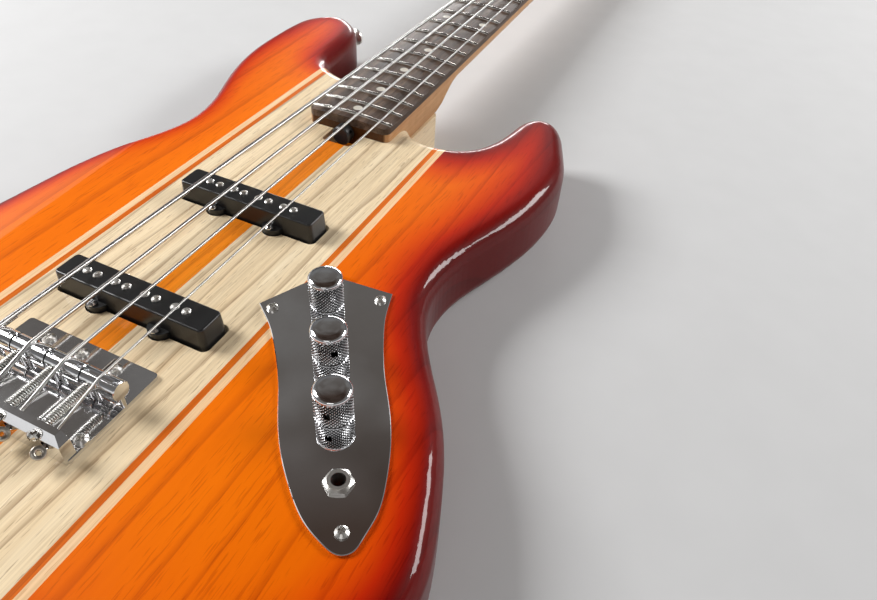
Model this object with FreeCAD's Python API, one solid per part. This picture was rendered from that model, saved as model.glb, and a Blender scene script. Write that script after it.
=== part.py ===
import FreeCAD, Part
import math
import os
from FreeCAD import Placement, Rotation, Vector

# Four-string electric bass with a laminated body, a bolt-on neck and open-gear tuners.
# X points to the treble side, Y from the bridge to the head, Z out of the top.
# The origin lies on the flat back of the body, on the centre line below the saddle line.

# Driving sizes in millimetres
SCALE_LENGTH = 863.6
FRET_COUNT = 21
BODY_THICKNESS = 45.0
BODY_EDGE_RADIUS = 12.0
HEEL_WIDTH = 62.0
NUT_WIDTH = 40.0
HEEL_LENGTH = 80.0
POCKET_DEPTH = 14.5
BOARD_RISE = 11.6
BOARD_THICKNESS = 6.0
BOARD_RADIUS = 240.0
BOARD_OVERHANG = 7.0
HEEL_CORNER = 5.0
NUT_LENGTH = 4.5
BRIDGE_SPACING = 20.0
NUT_SPACING = 10.0
STRING_RADII = {"e": 1.30, "a": 1.05, "d": 0.82, "g": 0.57}
CENTRE_STRIPE = 14.0
CORE_HALF_WIDTH = 60.0
ACCENT_WIDTH = 3.5
MAPLE_WIDTH = 4.5
BRIDGE_PICKUP_Y = 51.2
NECK_PICKUP_Y = 143.6
BRIDGE_PICKUP_LENGTH = 91.0
NECK_PICKUP_LENGTH = 89.5
PICKUP_WIDTH = 15.8
PICKUP_RISE = 11.6
CONTROL_ANGLE_DEG = 34.55
CONTROL_APEX_X = 66.4
CONTROL_APEX_Y = 115.8
CONTROL_PLATE_THICKNESS = 1.5
KNOB_RADIUS = 8.85
KNOB_HEIGHT = 17.3
KNOB_GAP = 0.5
BRIDGE_HALF_WIDTH = 39.0
BRIDGE_FRONT = 20.4
BRIDGE_REAR = 33.0
BRIDGE_SHEET = 2.0
BRIDGE_LIP_HEIGHT = 15.0
BRIDGE_LIP_THICKNESS = 5.6
SADDLE_RADIUS = 4.5
SADDLE_LENGTH = 19.2
SADDLE_RISE = 12.3
HEAD_THICKNESS = 14.0
HEAD_DROP = 5.0
HEAD_EDGE_TO_POSTS = 19.0
TUNER_FIRST = 56.0
TUNER_STEP = 44.0
POST_RADIUS = 4.8
WORM_MODULE = 1.0
WHEEL_TEETH = 20
WORM_PITCH_RADIUS = 4.0
SPRING_WIRE = 0.8
SPRING_TURNS = 13

# Clearances
POCKET_FIT = 0.15
RUN_FIT = 0.05
SCREW_FIT = 0.05
ROUTE_FIT = 0.7
STRING_FIT = 0.06
GROOVE_FIT = 0.15
THROUGH_FIT = 0.25
PRESS_FIT = 0.02

# Levels and places worked out from them
TOP = BODY_THICKNESS
POCKET_FLOOR = TOP - POCKET_DEPTH
BOARD_TOP = TOP + BOARD_RISE
BOARD_BASE = BOARD_TOP - BOARD_THICKNESS
HEEL_END = SCALE_LENGTH / 2 ** (FRET_COUNT / 12) - BOARD_OVERHANG
POCKET_END = HEEL_END + HEEL_LENGTH
HEAD_TOP = BOARD_BASE - HEAD_DROP
HEAD_BACK = HEAD_TOP - HEAD_THICKNESS
STRING_NAMES = ["e", "a", "d", "g"]
STRING_STEPS = {"e": -1.5, "a": -0.5, "d": 0.5, "g": 1.5}
PLATE_TOP = TOP + CONTROL_PLATE_THICKNESS
BRIDGE_TOP = TOP + BRIDGE_SHEET
SADDLE_Z = TOP + SADDLE_RISE
UP = Vector(0, 0, 1)
ALONG = Vector(0, 1, 0)
ACROSS = Vector(1, 0, 0)

os.makedirs("parts", exist_ok=True)


def rod(radius, start, end):
    """A plain cylinder between two points."""
    axis = end - start
    return Part.makeCylinder(radius, axis.Length, start, axis)


def prism(points, low, high):
    """A polygon in plan, stretched between two levels."""
    corners = [Vector(x, y, low) for x, y in points]
    face = Part.Face(Part.makePolygon(corners + corners[:1]))
    return face.extrude(UP * (high - low))


def block(x_low, x_high, y_low, y_high, low, high):
    size = (x_high - x_low, y_high - y_low, high - low)
    return Part.makeBox(*size, Vector(x_low, y_low, low))


def round_upright_edges(solid, radius, keep):
    """Round the upright edges whose middle point passes the test."""
    edges = []
    for edge in solid.Edges:
        ends = [v.Point for v in edge.Vertexes]
        if len(ends) == 2 and (ends[0] - ends[1]).cross(UP).Length < 1e-6:
            if keep((ends[0] + ends[1]) * 0.5):
                edges.append(edge)
    return solid.makeFillet(radius, edges)


def rounded_slab(centre_x, centre_y, length, width, radius, low, high):
    """A plate with round corners in plan."""
    slab = block(centre_x - length / 2, centre_x + length / 2,
                 centre_y - width / 2, centre_y + width / 2, low, high)
    return round_upright_edges(slab, radius, lambda p: True)


def turned(profile, base, axis):
    """A turned piece: (radius, height) points spun about an axis."""
    points = [Vector(r, 0, h) for r, h in profile]
    face = Part.Face(Part.makePolygon(points + points[:1]))
    solid = face.revolve(Vector(), UP, 360)
    solid.Placement = Placement(base, Rotation(UP, axis))
    return solid


def screw(head_base, axis, head, shank_radius, shank_length):
    """A pan-head screw whose head stands on head_base and whose shank goes the other way."""
    head_radius, head_height = head
    rim = head_height * 0.45
    crown = head_radius * 0.55
    profile = [(0, -shank_length), (shank_radius, -shank_length + shank_radius), (shank_radius, 0),
               (head_radius, 0), (head_radius, rim), (crown, head_height), (0, head_height)]
    solid = turned(profile, head_base, axis)
    slot = Part.makeBox(head_radius * 1.2, head_height * 0.3, head_height,
                        Vector(-head_radius * 0.6, -head_height * 0.15, head_height * 0.55))
    cross = slot.copy()
    cross.rotate(Vector(), UP, 90)
    for cutter in (slot, cross):
        cutter.Placement = Placement(head_base, Rotation(UP, axis)).multiply(cutter.Placement)
        solid = solid.cut(cutter)
    return solid


def screw_hole(head_base, axis, shank_radius, shank_length):
    """The pilot hole of such a screw."""
    depth = shank_length + 1.0
    return Part.makeCylinder(shank_radius + SCREW_FIT, depth + 1.0, head_base - axis * depth, axis)


def save(name, solids):
    """Write one node and stop on a broken solid."""
    shape = solids[0] if len(solids) == 1 else Part.makeCompound(solids)
    count = len(shape.Solids)
    print(name, count, round(shape.Volume, 1))
    if not shape.isValid() or shape.Volume <= 0:
        raise ValueError(name + " is not a valid solid")
    shape.exportStep(os.path.join("parts", name + ".step"))


# Paths of straight runs and tangent arcs
def bent_path(points, radii):
    """Edges along the points, with an arc of the given radius at each inner point."""
    edges = []
    start = points[0]
    for index, radius in enumerate(radii):
        corner = points[index + 1]
        arrive = (corner - points[index]).normalize()
        leave = (points[index + 2] - corner).normalize()
        turn = arrive.getAngle(leave)
        reach = radius * math.tan(turn / 2)
        first = corner - arrive * reach
        last = corner + leave * reach
        inward = (leave - arrive).normalize()
        middle = corner + inward * (radius / math.cos(turn / 2) - radius)
        edges.append(Part.LineSegment(start, first).toShape())
        edges.append(Part.Arc(first, middle, last).toShape())
        start = last
    edges.append(Part.LineSegment(start, points[-1]).toShape())
    return edges


def arc_between(start, control, end):
    """A circular arc tangent to start-control and control-end, which are equally long."""
    chord_middle = (start + end) * 0.5
    half = (end - start).Length / 2
    rise = (control - chord_middle).Length
    radius = half * math.hypot(half, rise) / rise
    sagitta = radius - math.sqrt(radius * radius - half * half)
    middle = chord_middle + (control - chord_middle) * (sagitta / rise)
    return Part.Arc(start, middle, end).toShape()


def biarc(start, start_way, end, end_way):
    """Two tangent arcs that join two points with given directions."""
    gap = end - start
    ways = start_way + end_way
    blend = 4 - ways.dot(ways)
    along = gap.dot(ways)
    reach = (-along + math.sqrt(along * along + blend * gap.dot(gap))) / blend
    first = start + start_way * reach
    second = end - end_way * reach
    join = (first + second) * 0.5
    return [arc_between(start, first, join), arc_between(join, second, end)]


def helix_edges(centre, side, turn_side, axis, radius, pitch, turns):
    """Quarter-turn biarcs along a helix that starts on the given side of its centre."""
    steps = int(round(turns * 4))
    climb = pitch / (2 * math.pi)
    length = math.hypot(radius, climb)

    def place(angle):
        flat = side * math.cos(angle) + turn_side * math.sin(angle)
        return centre + flat * radius + axis * (climb * angle)

    def way(angle):
        flat = turn_side * math.cos(angle) - side * math.sin(angle)
        return (flat * radius + axis * climb) * (1 / length)

    edges = []
    for step in range(steps):
        low = step * math.pi / 2
        high = low + math.pi / 2
        edges += biarc(place(low), way(low), place(high), way(high))
    return edges, place(steps * math.pi / 2), way(steps * math.pi / 2)


def least_self_gap(edges, wire_diameter):
    """The least gap between stretches of a tube that lie more than two diameters apart along it."""
    points = []
    places = []
    run = 0.0
    for edge in edges:
        count = max(2, int(edge.Length / (wire_diameter * 0.4)))
        first, last = edge.ParameterRange
        for step in range(count):
            points.append(edge.valueAt(first + (last - first) * step / count))
            places.append(run + edge.Length * step / count)
        run += edge.Length
    least = 1e9
    for i in range(0, len(points), 2):
        for j in range(i + 1, len(points)):
            if places[j] - places[i] > 4 * wire_diameter:
                least = min(least, points[i].distanceToPoint(points[j]))
                if places[j] - places[i] > 80 * wire_diameter:
                    break
    return least - wire_diameter


def tube(edges, radius):
    """A round tube along a path that starts with a straight run."""
    path = Part.Wire(edges)
    first = edges[0]
    start = first.valueAt(first.FirstParameter)
    heading = first.tangentAt(first.FirstParameter)
    ring = Part.Wire(Part.makeCircle(radius, start, heading))
    solid = path.makePipeShell([ring], True, False)
    if solid.Volume < 0:
        solid.reverse()
    return solid


# Neck plan
def neck_half_width(y):
    share = (y - HEEL_END) / (SCALE_LENGTH - HEEL_END)
    return (HEEL_WIDTH + (NUT_WIDTH - HEEL_WIDTH) * share) / 2


def string_x(name, y):
    """Where a string lies across the neck at a place along it."""
    at_bridge = STRING_STEPS[name] * BRIDGE_SPACING
    at_nut = STRING_STEPS[name] * NUT_SPACING
    return at_bridge + (at_nut - at_bridge) * y / SCALE_LENGTH


# Body outline, drawn for one place of the pocket's end and drawn out along Y with it
# Points of the horns are counted from that end, the others from the saddle line
DRAWN_POCKET_END = 329.75
UPPER_BASS = [(-31, -8), (-55, -2.5), (-70, 8), (-76, 30), (-80, 62), (-92, 86), (-112, 95),
              (-131.5, 82), (-140.5, 40), (-138, -8), (-126, -52), (-112.5, -89), (-109, -117),
              (-117, -147)]
LOWER_BOUT = [(-131, 149), (-145, 92), (-155, 40), (-157.5, -10), (-146, -60), (-112, -95),
              (-50, -109), (20, -113), (90, -112), (145, -91), (178, -53), (188, -12), (181, 18),
              (160, 65), (136, 100), (121.5, 132)]
UPPER_TREBLE = [(121, -170), (133.3, -130), (146, -80), (145, -43), (135, -14), (127.5, 2.5),
                (119.3, 11), (106, 11.5), (97.5, 2.5), (93.5, -14), (88.5, -35), (78, -52),
                (58, -60), (41, -57), (31, -48), (10, -27)]
FOREARM_LINE = [(-112, 178), (-92, -92)]
FOREARM_SLOPE_DEG = 13.0
FOREARM_PAST_LINE = 30.0
BELLY_RADIUS = 260.0
BELLY_TILT_DEG = 20.0
BELLY_START = (-58, 165)
HEEL_BLOCK_CORNER = 4.0
CONTOUR_RIM_RADIUS = 6.0


def drawn_place(x, y, level=0.0):
    """A place of the drawing on the body as it is built."""
    return Vector(x, y * POCKET_END / DRAWN_POCKET_END, level)


def body_outline():
    points = [drawn_place(x, DRAWN_POCKET_END + y) for x, y in UPPER_BASS]
    points += [drawn_place(x, y) for x, y in LOWER_BOUT]
    points += [drawn_place(x, DRAWN_POCKET_END + y) for x, y in UPPER_TREBLE]
    curve = Part.BSplineCurve()
    curve.interpolate(Points=points, PeriodicFlag=True)
    places = [curve.parameter(point) for point in points]
    ways = [curve.tangent(place)[0] for place in places]
    edges = []
    for index, point in enumerate(points):
        following = (index + 1) % len(points)
        edges += biarc(point, ways[index], points[following], ways[following])
    return Part.Wire(edges)


def forearm_wedge():
    """The sloping cut that the forearm rests on."""
    first, last = [drawn_place(x, y, TOP) for x, y in FOREARM_LINE]
    run = (last - first).normalize()
    away = Vector(run.y, -run.x, 0)
    slope = math.radians(FOREARM_SLOPE_DEG)
    down = away * math.cos(slope) - UP * math.sin(slope)
    lift = away * math.sin(slope) + UP * math.cos(slope)
    middle = (first + last) * 0.5
    reach = (last - first).Length / 2 + FOREARM_PAST_LINE
    corners = [middle - run * reach, middle + run * reach, middle + run * reach + down * 300,
               middle - run * reach + down * 300]
    face = Part.Face(Part.makePolygon(corners + corners[:1]))
    return face.extrude(lift * 100)


def belly_scoop():
    """The round scoop in the back on the bass side."""
    tilt = math.radians(BELLY_TILT_DEG)
    axis = Vector(-math.cos(tilt), 0, math.sin(tilt))
    below = Vector(-math.sin(tilt), 0, -math.cos(tilt))
    start = drawn_place(*BELLY_START) + below * BELLY_RADIUS - axis * 20
    return Part.makeCylinder(BELLY_RADIUS, 300, start, axis)


def round_cut_rim(solid, is_cut_face, is_rim, radius):
    """Round the edge that a contour cut leaves along the body's side."""
    face = [f for f in solid.Faces if is_cut_face(f)][0]
    rim = [e for e in face.Edges if is_rim(e.valueAt((e.FirstParameter + e.LastParameter) / 2))]
    return solid.makeFillet(radius, rim)


def body_blank(outline):
    """The rounded and contoured body before any pocket is cut."""
    blank = Part.Face(outline).extrude(UP * TOP)
    rims = [edge for edge in blank.Edges if edge.BoundBox.ZLength < 1e-6]
    blank = blank.makeFillet(BODY_EDGE_RADIUS, rims).cut(forearm_wedge())
    tilted = math.cos(math.radians(FOREARM_SLOPE_DEG))
    blank = round_cut_rim(blank, lambda f: abs(f.normalAt(0, 0).z - tilted) < 1e-4,
                          lambda p: p.z < TOP - 0.5, CONTOUR_RIM_RADIUS)
    blank = blank.cut(belly_scoop())
    return round_cut_rim(blank, lambda f: is_cylinder(f, BELLY_RADIUS), lambda p: p.z > 0.5,
                         CONTOUR_RIM_RADIUS)


def is_cylinder(face, radius):
    surface = face.Surface
    return surface.TypeId == "Part::GeomCylinder" and abs(surface.Radius - radius) < 1e-6


def heel_block():
    """The part of the core that carries the neck's heel past the cutaways."""
    heel = block(-HEEL_WIDTH / 2, HEEL_WIDTH / 2, HEEL_END, POCKET_END, 0, POCKET_FLOOR)
    return round_upright_edges(heel, HEEL_BLOCK_CORNER, lambda p: p.y > POCKET_END - 1)


def lamination(blank, low, high, tools):
    """One glued layer of the body between two planes, with its share of every cut."""
    slab = block(low, high, -2 * SCALE_LENGTH, 2 * SCALE_LENGTH, -1, TOP + 1)
    piece = blank.common(slab)
    heel = heel_block().common(slab)
    if heel.Volume > 1:
        piece = piece.fuse(heel).removeSplitter()
    for tool in tools:
        if piece.BoundBox.intersect(tool.BoundBox):
            piece = piece.cut(tool)
    return piece.Solids


# Controls: places along the plate's axis (from its apex) and across it
CONTROL_ANGLE = math.radians(CONTROL_ANGLE_DEG)
CONTROL_AXIS = Vector(math.sin(CONTROL_ANGLE), -math.cos(CONTROL_ANGLE), 0)
CONTROL_SIDE = Vector(math.cos(CONTROL_ANGLE), math.sin(CONTROL_ANGLE), 0)
CONTROL_ORIGIN = Vector(CONTROL_APEX_X, CONTROL_APEX_Y, 0)
KNOB_PLACES = [21.8, 57.7, 93.6]
KNOB_NAMES = ["neck_volume_knob", "bridge_volume_knob", "tone_knob"]
JACK_PLACE = 129.0
PLATE_SCREWS = [(24.0, -27.0), (24.0, 27.0), (151.0, 0.0)]
PLATE_CORNER = (19.5, 33.7)
PLATE_SIDE = [(36, 28.5), (51, 26), (72, 24.2), (98, 24.2), (115, 22.5), (131, 19), (145, 14), (155, 7.3)]
PLATE_TIP = 160.0
CAVITY_START = 22.0
CAVITY_END = 128.0
CAVITY_HALF_WIDTH = 18.5
CAVITY_DEPTH = 34.0
JACK_WELL_RADIUS = 10.0


def control_point(along, side, z):
    return CONTROL_ORIGIN + CONTROL_AXIS * along + CONTROL_SIDE * side + UP * z


def control_plate_outline(z):
    edges = []
    for sign in (-1, 1):
        corner = control_point(PLATE_CORNER[0], sign * PLATE_CORNER[1], z)
        edges.append(Part.LineSegment(control_point(0, 0, z), corner).toShape())
        points = [corner] + [control_point(s, sign * n, z) for s, n in PLATE_SIDE]
        points.append(control_point(PLATE_TIP, 0, z))
        first_way = points[1] - points[0]
        curve = Part.BSplineCurve()
        curve.interpolate(Points=points, InitialTangent=first_way * 1.2,
                          FinalTangent=CONTROL_SIDE * (-sign * 12))
        edges.append(curve.toShape())
    return Part.Wire(Part.__sortEdges__(edges))


def control_cavity():
    low = TOP - CAVITY_DEPTH
    half = CAVITY_HALF_WIDTH
    ends = [CAVITY_START, CAVITY_END - half]
    corners = [control_point(ends[0], -half, low), control_point(ends[1], -half, low),
               control_point(ends[1], half, low), control_point(ends[0], half, low)]
    middle = Part.Face(Part.makePolygon(corners + corners[:1])).extrude(UP * CAVITY_DEPTH)
    rounds = [Part.makeCylinder(half, CAVITY_DEPTH, control_point(s, 0, low)) for s in ends]
    rounds.append(Part.makeCylinder(JACK_WELL_RADIUS, CAVITY_DEPTH, control_point(JACK_PLACE, 0, low)))
    return middle.fuse(rounds).removeSplitter()


# Pickups
PICKUPS = {"bridge": (BRIDGE_PICKUP_Y, BRIDGE_PICKUP_LENGTH, 18.3),
           "neck": (NECK_PICKUP_Y, NECK_PICKUP_LENGTH, 17.0)}
PICKUP_DRAFT = 1.4
PICKUP_SINK = 9.0
EAR_X = 19.5
EAR_Y = 7.4
EAR_RADIUS = 6.4
EAR_SCREW_Y = 11.2
EAR_LOW = -1.5
EAR_HIGH = 3.2
EAR_SCREW_RADIUS = 1.3
EAR_SCREW_LENGTH = 22.0
EAR_SCREW_HEAD = (2.4, 1.7)
PICKUP_ROUTE_DEPTH = 22.0
EAR_ROUTE_DEPTH = 6.0
POLE_RADIUS = 2.3
POLE_HALF_GAP = 3.4
POLE_RISE = 1.1
COVER_WALL = 1.5
COVER_CORNER = 2.4
COVER_TOP_EDGE = 1.0
COIL_PLATE = 1.6
COIL_ROOM = 0.75
COIL_INSET = 1.0
PICKUP_TRAVEL = 3.0


def pickup_screw_places(y):
    for side_x in (-EAR_X, EAR_X):
        for side_y in (-EAR_SCREW_Y, EAR_SCREW_Y):
            yield Vector(side_x, y + side_y, TOP + EAR_HIGH)


def pole_places(y, spacing):
    for name in STRING_NAMES:
        for side in (-POLE_HALF_GAP, POLE_HALF_GAP):
            yield Vector(STRING_STEPS[name] * spacing + side, y, 0)


def pickup_route(y, length):
    base_length = length + 2 * PICKUP_DRAFT + 2 * ROUTE_FIT
    base_width = PICKUP_WIDTH + 2 * PICKUP_DRAFT + 2 * ROUTE_FIT
    tools = [rounded_slab(0, y, base_length, base_width, COVER_CORNER + PICKUP_DRAFT,
                          TOP - PICKUP_ROUTE_DEPTH, TOP + 1)]
    for side_x in (-EAR_X, EAR_X):
        for side_y in (-EAR_Y, EAR_Y):
            place = Vector(side_x, y + side_y, TOP - EAR_ROUTE_DEPTH)
            tools.append(Part.makeCylinder(EAR_RADIUS + ROUTE_FIT, EAR_ROUTE_DEPTH + 1, place))
    for place in pickup_screw_places(y):
        tools.append(screw_hole(place, UP, EAR_SCREW_RADIUS, EAR_SCREW_LENGTH + PICKUP_TRAVEL))
    return tools


def pickup_cover(y, length, spacing):
    low = TOP - PICKUP_SINK
    high = TOP + PICKUP_RISE

    def ring(z, grow):
        slab = rounded_slab(0, y, length + 2 * grow, PICKUP_WIDTH + 2 * grow, COVER_CORNER + grow, z, z + 1)
        return [f for f in slab.Faces if abs(f.CenterOfMass.z - z) < 1e-6][0].OuterWire

    outer = Part.makeLoft([ring(low, PICKUP_DRAFT), ring(high, 0)], True, True)
    top_edges = [e for e in outer.Edges if abs(e.CenterOfMass.z - high) < 1e-6]
    outer = outer.makeFillet(COVER_TOP_EDGE, top_edges)
    ears = []
    for side_x in (-EAR_X, EAR_X):
        for side_y in (-EAR_Y, EAR_Y):
            place = Vector(side_x, y + side_y, TOP + EAR_LOW)
            ears.append(Part.makeCylinder(EAR_RADIUS, EAR_HIGH - EAR_LOW, place))
    cover = outer.fuse(ears)
    hollow = Part.makeLoft([ring(low, PICKUP_DRAFT - COVER_WALL), ring(high - COVER_WALL, -COVER_WALL)],
                           True, True)
    cutters = [hollow]
    for place in pole_places(y, spacing):
        cutters.append(Part.makeCylinder(POLE_RADIUS + RUN_FIT, 10, place + UP * (high - 6)))
    for place in pickup_screw_places(y):
        cutters.append(Part.makeCylinder(EAR_SCREW_RADIUS + THROUGH_FIT, 8, place - UP * 6))
    return cover.cut(cutters)


def pole(place):
    low = TOP - PICKUP_SINK
    high = TOP + PICKUP_RISE + POLE_RISE
    rod_high = high - 0.7
    profile = [(0, low), (POLE_RADIUS, low), (POLE_RADIUS, rod_high), (POLE_RADIUS * 0.75, high - 0.2),
               (POLE_RADIUS * 0.35, high), (0, high)]
    return turned(profile, place, UP)


def pickup_coil(y, length, spacing):
    """The wound coil between two fibre plates, with holes for the poles."""
    inner = length - 2 * COVER_WALL - 4 * COIL_ROOM
    width = PICKUP_WIDTH - 2 * COVER_WALL - 2 * COIL_ROOM
    low = TOP - PICKUP_SINK + COIL_ROOM
    high = TOP + PICKUP_RISE - COVER_WALL - COIL_ROOM
    plate = COIL_PLATE
    inset = 2 * COIL_INSET
    holes = [Part.makeCylinder(POLE_RADIUS + RUN_FIT, high - low + 2, place + UP * (low - 1))
             for place in pole_places(y, spacing)]
    layers = [rounded_slab(0, y, inner, width, COVER_CORNER, low, low + plate),
              rounded_slab(0, y, inner - inset, width - inset, width * 0.35, low + plate, high - plate),
              rounded_slab(0, y, inner, width, COVER_CORNER, high - plate, high)]
    return [layer.cut(holes) for layer in layers]


# Truss rod and its wheel at the heel
TRUSS_Z = TOP + 1.5
TRUSS_RADIUS = 3.0
WHEEL_RADIUS = 6.6
WHEEL_LENGTH = 8.0
WHEEL_GAP = 1.5
WHEEL_SPOKES = 6
NOTCH_HALF_WIDTH = 11.0
NOTCH_DEPTH = 8.0
NOTCH_LENGTH = 13.0
NOTCH_CORNER = 3.0
WHEEL_EDGE = 0.8
WHEEL_FLOOR = 1.9
SPOKE_HOLE = (1.3, 4.2)
TRUSS_STOP = 15.0

# Neck screws with ferrules
NECK_SCREW_X = 17.0
NECK_SCREW_YS = [HEEL_END + 19.0, HEEL_END + 61.0]
FERRULE_RADIUS = 7.0
FERRULE_DEPTH = 5.0
NECK_SCREW_RADIUS = 2.2
NECK_SCREW_BITE = 16.0
NECK_SCREW_HEAD = (4.6, 2.6)
FERRULE_WALL = 1.4
FERRULE_FLOOR = 1.5


def neck_screw_places():
    for y in NECK_SCREW_YS:
        for x in (-NECK_SCREW_X, NECK_SCREW_X):
            yield Vector(x, y, 0)


# Strap buttons
BUTTON_SCREW_RADIUS = 1.8
BUTTON_SCREW_LENGTH = 26.0
BUTTON_SEAT = 1.2
BUTTON_BASE_RADIUS = 6.5
BUTTON_WAIST = 3.6
BUTTON_FLANGE = 7.4
BUTTON_HEIGHT = 13.4
BUTTON_RECESS = 11.4
BUTTON_SCREW_HEAD = (3.3, 1.9)
BUTTON_ROOM = 0.8
HORN_BUTTON_TURN_DEG = 15.0
BUTTON_PROFILE = [(0, 0), (BUTTON_BASE_RADIUS, 0), (BUTTON_BASE_RADIUS, 1.6), (BUTTON_WAIST, 4.2),
                  (BUTTON_WAIST, 8.5), (BUTTON_FLANGE, 11.2), (BUTTON_FLANGE, 12.6),
                  (BUTTON_FLANGE - 1, BUTTON_HEIGHT), (0, BUTTON_HEIGHT)]


def strap_button_seats(outline):
    """The end of the horn and the middle of the tail, with the outward direction of each."""
    points = outline.discretize(4000)
    turn = math.radians(HORN_BUTTON_TURN_DEG)
    horn_way = ACROSS * math.sin(turn) + ALONG * math.cos(turn)
    tip = max((p for p in points if p.x < 0), key=lambda p: p.dot(horn_way))
    tail = min((p for p in points if p.y < 0), key=lambda p: abs(p.x))
    middle = UP * (TOP / 2)
    return [(tip + middle - horn_way * BUTTON_SEAT, horn_way),
            (tail + middle + ALONG * BUTTON_SEAT, ALONG * -1)]


# Bridge
BRIDGE_SCREW_RADIUS = 1.6
BRIDGE_SCREW_LENGTH = 22.0
BRIDGE_SCREW_HEAD = (3.1, 2.1)
BRIDGE_SCREWS = [(-36.0, -22.0), (36.0, -22.0), (-20.0, 13.5), (0.0, 13.5), (20.0, 13.5)]
BRIDGE_CORNER = 2.0
LIP_END_GAP = 0.4
LIP_CHAMFER = 3.4
LIP_BEND = 1.2
LIP_HOLE_RADIUS = 2.1
INTONATION_OFFSET = -4.6
INTONATION_RADIUS = 1.25
INTONATION_HEAD = (2.6, 2.0)
INTONATION_FRONT = 13.0
HEIGHT_SCREW_X = 7.8
SPRING_END_GAP = 0.12
SPRING_ROOM = 0.35
HEIGHT_SCREW_RADIUS = 1.25
SADDLE_GROOVE = 0.6
SADDLE_EDGE = 0.3
HEIGHT_SCREW_RISE = 2.6
KEY_SOCKET = (0.62, 1.4)
STRING_AT_LIP = 8.3
STRING_PAST_LIP = 0.6
NUT_BREAK = 1.5


def saddle_string_z(name):
    """Height of the string's middle where it crosses its saddle."""
    return SADDLE_Z + SADDLE_RADIUS - SADDLE_GROOVE + STRING_RADII[name]


def over_saddle_corner(name):
    """Where the two straight runs of a string would meet above its saddle."""
    wrap = saddle_string_z(name) - SADDLE_Z
    runs = []
    nut_place = Vector(0, SCALE_LENGTH + NUT_BREAK, nut_string_z(name))
    for place, turn_sign in ((lip_place(name), 1), (nut_place, -1)):
        y = -place.y
        z = SADDLE_Z - place.z
        swing = turn_sign * math.asin(wrap / math.hypot(y, z))
        heading = math.atan2(z, y) + swing
        runs.append((place.y, place.z, math.tan(heading)))
    (y1, z1, slope1), (y2, z2, slope2) = runs
    y = (z2 - z1 + slope1 * y1 - slope2 * y2) / (slope1 - slope2)
    return Vector(string_x(name, 0), y, z1 + slope1 * (y - y1))


def lip_place(name):
    return Vector(string_x(name, 0), -BRIDGE_REAR - STRING_PAST_LIP, TOP + STRING_AT_LIP)


def bridge_screw_places():
    return [Vector(x, y, BRIDGE_TOP) for x, y in BRIDGE_SCREWS]


def plate_screw_places():
    return [control_point(s, n, PLATE_TOP) for s, n in PLATE_SCREWS]


PLATE_SCREW_RADIUS = 1.3
PLATE_SCREW_LENGTH = 15.0
PLATE_SCREW_HEAD = (2.9, 1.9)

# Wire holes from the pickup routes to the control cavity
WIRE_HOLE_RADIUS = 4.0
WIRE_Z = TOP - 15.0
NECK_WIRE_HOLE = (Vector(40, NECK_PICKUP_Y - 2, WIRE_Z), control_point(16, 0, WIRE_Z))
BRIDGE_WIRE_HOLE = (Vector(42, BRIDGE_PICKUP_Y + 1, WIRE_Z), control_point(55, -10, WIRE_Z))


def build_body():
    outline = body_outline()
    body = body_blank(outline)
    far = POCKET_END + HEEL_LENGTH
    near = HEEL_END - POCKET_FIT
    pocket = prism([(-neck_half_width(near) - POCKET_FIT, near), (neck_half_width(near) + POCKET_FIT, near),
                    (neck_half_width(far) + POCKET_FIT, far), (-neck_half_width(far) - POCKET_FIT, far)],
                   POCKET_FLOOR, TOP + 1)
    pocket = round_upright_edges(pocket, HEEL_CORNER, lambda p: p.y < near + 1)
    notch = rounded_slab(0, HEEL_END - NOTCH_LENGTH / 2, 2 * NOTCH_HALF_WIDTH,
                         NOTCH_LENGTH + 2 * NOTCH_CORNER, NOTCH_CORNER, TOP - NOTCH_DEPTH, TOP + 1)
    tools = [pocket, notch, control_cavity()]
    for y, length, spacing in PICKUPS.values():
        tools += pickup_route(y, length)
    tools += [rod(WIRE_HOLE_RADIUS, *NECK_WIRE_HOLE), rod(WIRE_HOLE_RADIUS, *BRIDGE_WIRE_HOLE)]
    for place in neck_screw_places():
        tools.append(Part.makeCylinder(NECK_SCREW_RADIUS + THROUGH_FIT, TOP, place))
        tools.append(Part.makeCylinder(FERRULE_RADIUS, FERRULE_DEPTH + 1, place - UP))
    for place in bridge_screw_places():
        tools.append(screw_hole(place, UP, BRIDGE_SCREW_RADIUS, BRIDGE_SCREW_LENGTH))
    for place in plate_screw_places():
        tools.append(screw_hole(place, UP, PLATE_SCREW_RADIUS, PLATE_SCREW_LENGTH))
    for seat, way in strap_button_seats(outline):
        tools.append(Part.makeCylinder(BUTTON_BASE_RADIUS + BUTTON_ROOM, BUTTON_HEIGHT, seat, way))
        tools.append(Part.makeCylinder(BUTTON_SCREW_RADIUS + SCREW_FIT, BUTTON_SCREW_LENGTH + 1,
                                       seat, way * -1))
    stripe = CENTRE_STRIPE / 2
    core = CORE_HALF_WIDTH
    accent = core + ACCENT_WIDTH
    maple = accent + MAPLE_WIDTH
    wide = SCALE_LENGTH
    save("core_center_stripe", lamination(body, -stripe, stripe, tools))
    save("core_planks", lamination(body, -core, -stripe, tools) + lamination(body, stripe, core, tools))
    save("accent_strips", lamination(body, -accent, -core, tools) + lamination(body, core, accent, tools))
    save("maple_strips", lamination(body, -maple, -accent, tools) + lamination(body, accent, maple, tools))
    save("body_wing_bass", lamination(body, -wide, -maple, tools))
    save("body_wing_treble", lamination(body, maple, wide, tools))
    return outline


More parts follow.
